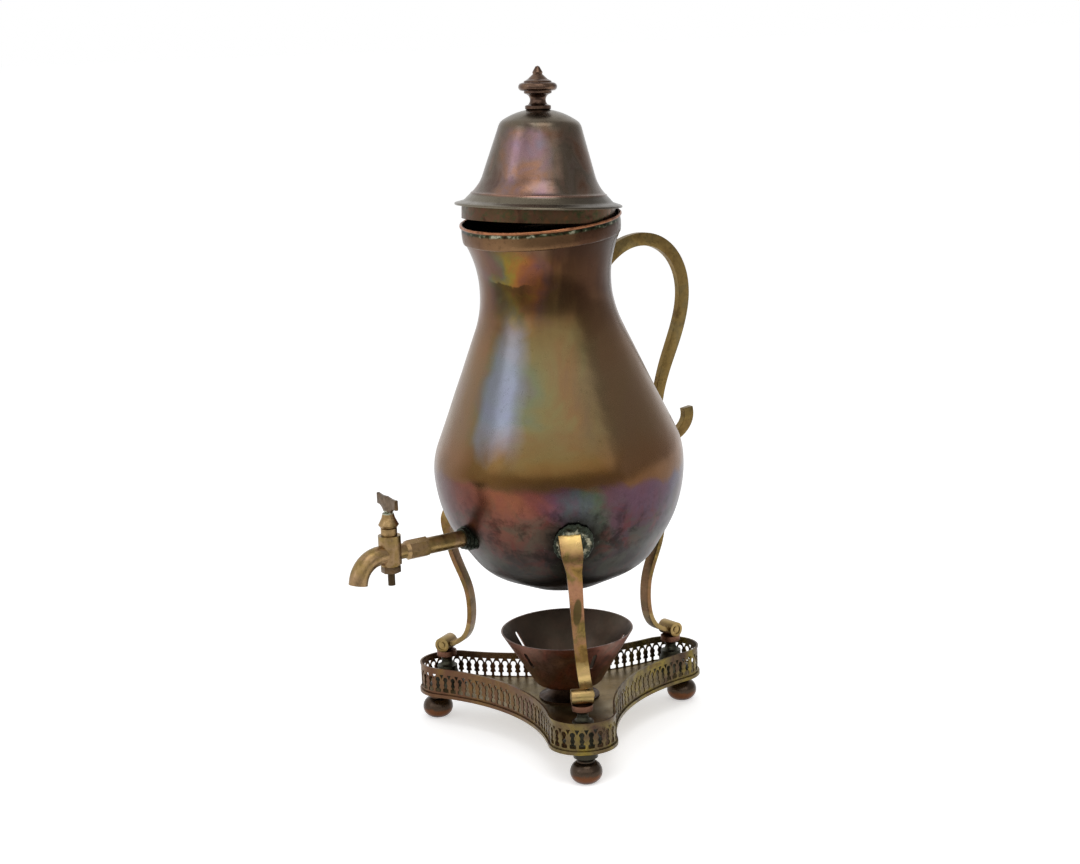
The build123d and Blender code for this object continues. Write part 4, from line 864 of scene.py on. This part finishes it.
def eased(node, name, body, width):
    """The same form with its edges filed round, by this width in millimetres."""
    piece = copied(node, name)
    edge = piece.modifiers.new("filed_edges", "BEVEL")
    edge.width = width * MM
    edge.segments = 3
    edge.limit_method = "ANGLE"
    edge.angle_limit = radians(38)
    apply_all(piece)
    smooth(piece, 40)
    stand_for(piece, node, body)


def run_solder(node, name, body):
    """Solder as it ran and set: a low mound with beads and hollows about 3 mm wide."""
    piece = copied(node, name)
    clay = piece.modifiers.new("flow", "REMESH")
    clay.mode = "VOXEL"
    clay.voxel_size = 0.7 * MM
    apply_all(piece)
    uneven(piece, 3.0, 2.4)
    soften = piece.modifiers.new("soften", "SMOOTH")
    soften.iterations = 2
    apply_all(piece)
    smooth(piece, 60)
    stand_for(piece, node, body)


jug_shell()
mouth_band()
lid_bell()
for side in SIDES:
    eased("leg_" + side, "strap_leg_" + side, "urn", 0.9)
    run_solder("leg_pad_" + side, "solder_pad_" + side, "urn")
eased("handle", "bar_handle", "urn", 1.2)
eased("tap_wing", "thumb_wing", "tap_key", 0.7)
eased("plug_nut", "key_nut", "tap_key", 0.4)


# Camera, floor and light

FLOOR_SIZE = 30.0
FLOOR_FRONT = 0.6
# Seen from above, the camera looks from this many degrees round from +X.
CAMERA_SIDE = -35.8
EYE = (1.1885, -0.8295, 0.5179)
EYE_TURN, EYE_PITCH, EYE_YAW, EYE_ROLL = (radians(a) for a in (54.218, 11.37, -0.49, 2.28))


def camera():
    """A 70 mm lens, to the right of the tap and a little above, tilted slightly."""
    ahead = Vector((sin(EYE_YAW) * cos(EYE_PITCH), cos(EYE_YAW) * cos(EYE_PITCH), -sin(EYE_PITCH)))
    right = Vector((cos(EYE_YAW), -sin(EYE_YAW), 0))
    down = ahead.cross(right)
    across = cos(EYE_ROLL) * right + sin(EYE_ROLL) * down
    below = -sin(EYE_ROLL) * right + cos(EYE_ROLL) * down
    swing = Matrix.Rotation(EYE_TURN, 3, "Z")
    basis = Matrix((swing @ across, -(swing @ below), -(swing @ ahead))).transposed()
    data = bpy.data.cameras.new("view")
    data.lens = 70.0
    data.sensor_width = 36.0
    eye = bpy.data.objects.new("view", data)
    bpy.context.scene.collection.objects.link(eye)
    eye.matrix_world = Matrix.Translation(EYE) @ basis.to_4x4()
    bpy.context.scene.camera = eye


def seen_directly_or_in_metal(tree):
    """1 for what the camera sees, or sees mirrored in the metal."""
    return add(tree, "Math", {
        "operation": "MAXIMUM",
        0: add(tree, "LightPath", {}, "Is Camera Ray"), 1: add(tree, "LightPath", {}, "Is Glossy Ray"),
    })


def floor():
    """Plain white floor that ends a little before the object.

    Seen, or mirrored in the metal, it is lifted to white, and it keeps the object's shadow.
    """
    bpy.ops.object.select_all(action="DESELECT")
    ahead = Vector((-0.811, 0.585, 0))
    bpy.ops.mesh.primitive_plane_add(size=FLOOR_SIZE, location=ahead * (FLOOR_SIZE / 2 - FLOOR_FRONT),
                                     rotation=(0, 0, radians(54.2)))
    plane = bpy.context.active_object
    plane.name = "floor"
    material = bpy.data.materials.new("white_floor")
    material.use_nodes = True
    tree = material.node_tree
    tree.nodes.clear()
    paint = add(tree, "BsdfDiffuse", {"Color": (0.9, 0.9, 0.9, 1.0)})
    lift = add(tree, "Math", {"operation": "MULTIPLY", 0: seen_directly_or_in_metal(tree), 1: 0.45})
    surface = add(tree, "AddShader", {0: paint, 1: add(tree, "Emission", {"Strength": lift})})
    add(tree, "OutputMaterial", {"Surface": surface})
    plane.data.materials.append(material)


def studio():
    """Pale room. The camera sees it white. The metal mirrors it darker on the side away from the backdrop."""
    world = bpy.data.worlds.new("studio")
    bpy.context.scene.world = world
    world.use_nodes = True
    tree = world.node_tree
    tree.nodes.clear()
    backdrop = add(tree, "VectorMath", {
        "operation": "DOT_PRODUCT", 0: add(tree, "TexCoord", {}, "Generated"), 1: (-0.97, -0.22, 0.0),
    }, "Value")
    spread = add(tree, "MapRange", {"Value": backdrop, "From Min": -0.5, "From Max": 0.5})
    room = add(tree, "ValToRGB", {"Fac": spread, "stops": ((0.1, 0.44), (0.45, 0.6), (0.8, 1.0))})
    picture = add(tree, "Background", {
        "Color": coated(tree, room, (add(tree, "LightPath", {}, "Is Camera Ray"), "ffffff")), "Strength": 1.0,
    })
    light = add(tree, "Background", {"Color": (1.0, 1.0, 1.0, 1.0), "Strength": 0.62})
    surface = add(tree, "MixShader", {0: seen_directly_or_in_metal(tree), 1: light, 2: picture})
    add(tree, "OutputWorld", {"Surface": surface})


def softbox(name, place, target, width, height, power, colour="ffffff"):
    data = bpy.data.lights.new(name, "AREA")
    data.shape = "RECTANGLE"
    data.size = width
    data.size_y = height
    data.energy = power
    data.color = linear(colour)[:3]
    lamp = bpy.data.objects.new(name, data)
    bpy.context.scene.collection.objects.link(lamp)
    lamp.location = place
    lamp.rotation_euler = (Vector(target) - Vector(place)).to_track_quat("-Z", "Y").to_euler()


def lamp_place(turn, distance, height):
    """A place round the object, by its angle from the camera's side towards the tap, seen from above."""
    angle = radians(CAMERA_SIDE - turn)
    return (distance * cos(angle), AXIS_Y + distance * sin(angle), height)


camera()
floor()
studio()
softbox("front_softbox", lamp_place(-2, 2.1, 1.30), (0, 0, 0.25), 4.6, 1.3, 19.0)
softbox("side_window", lamp_place(60, 2.1, 1.25), (0, 0, 0.25), 0.68, 1.3, 4.1, "e6ebff")
softbox("top_softbox", lamp_place(-10, 0.9, 2.1), (0, 0, 0.2), 1.4, 1.2, 10.0)

bpy.context.scene.view_settings.view_transform = "Standard"
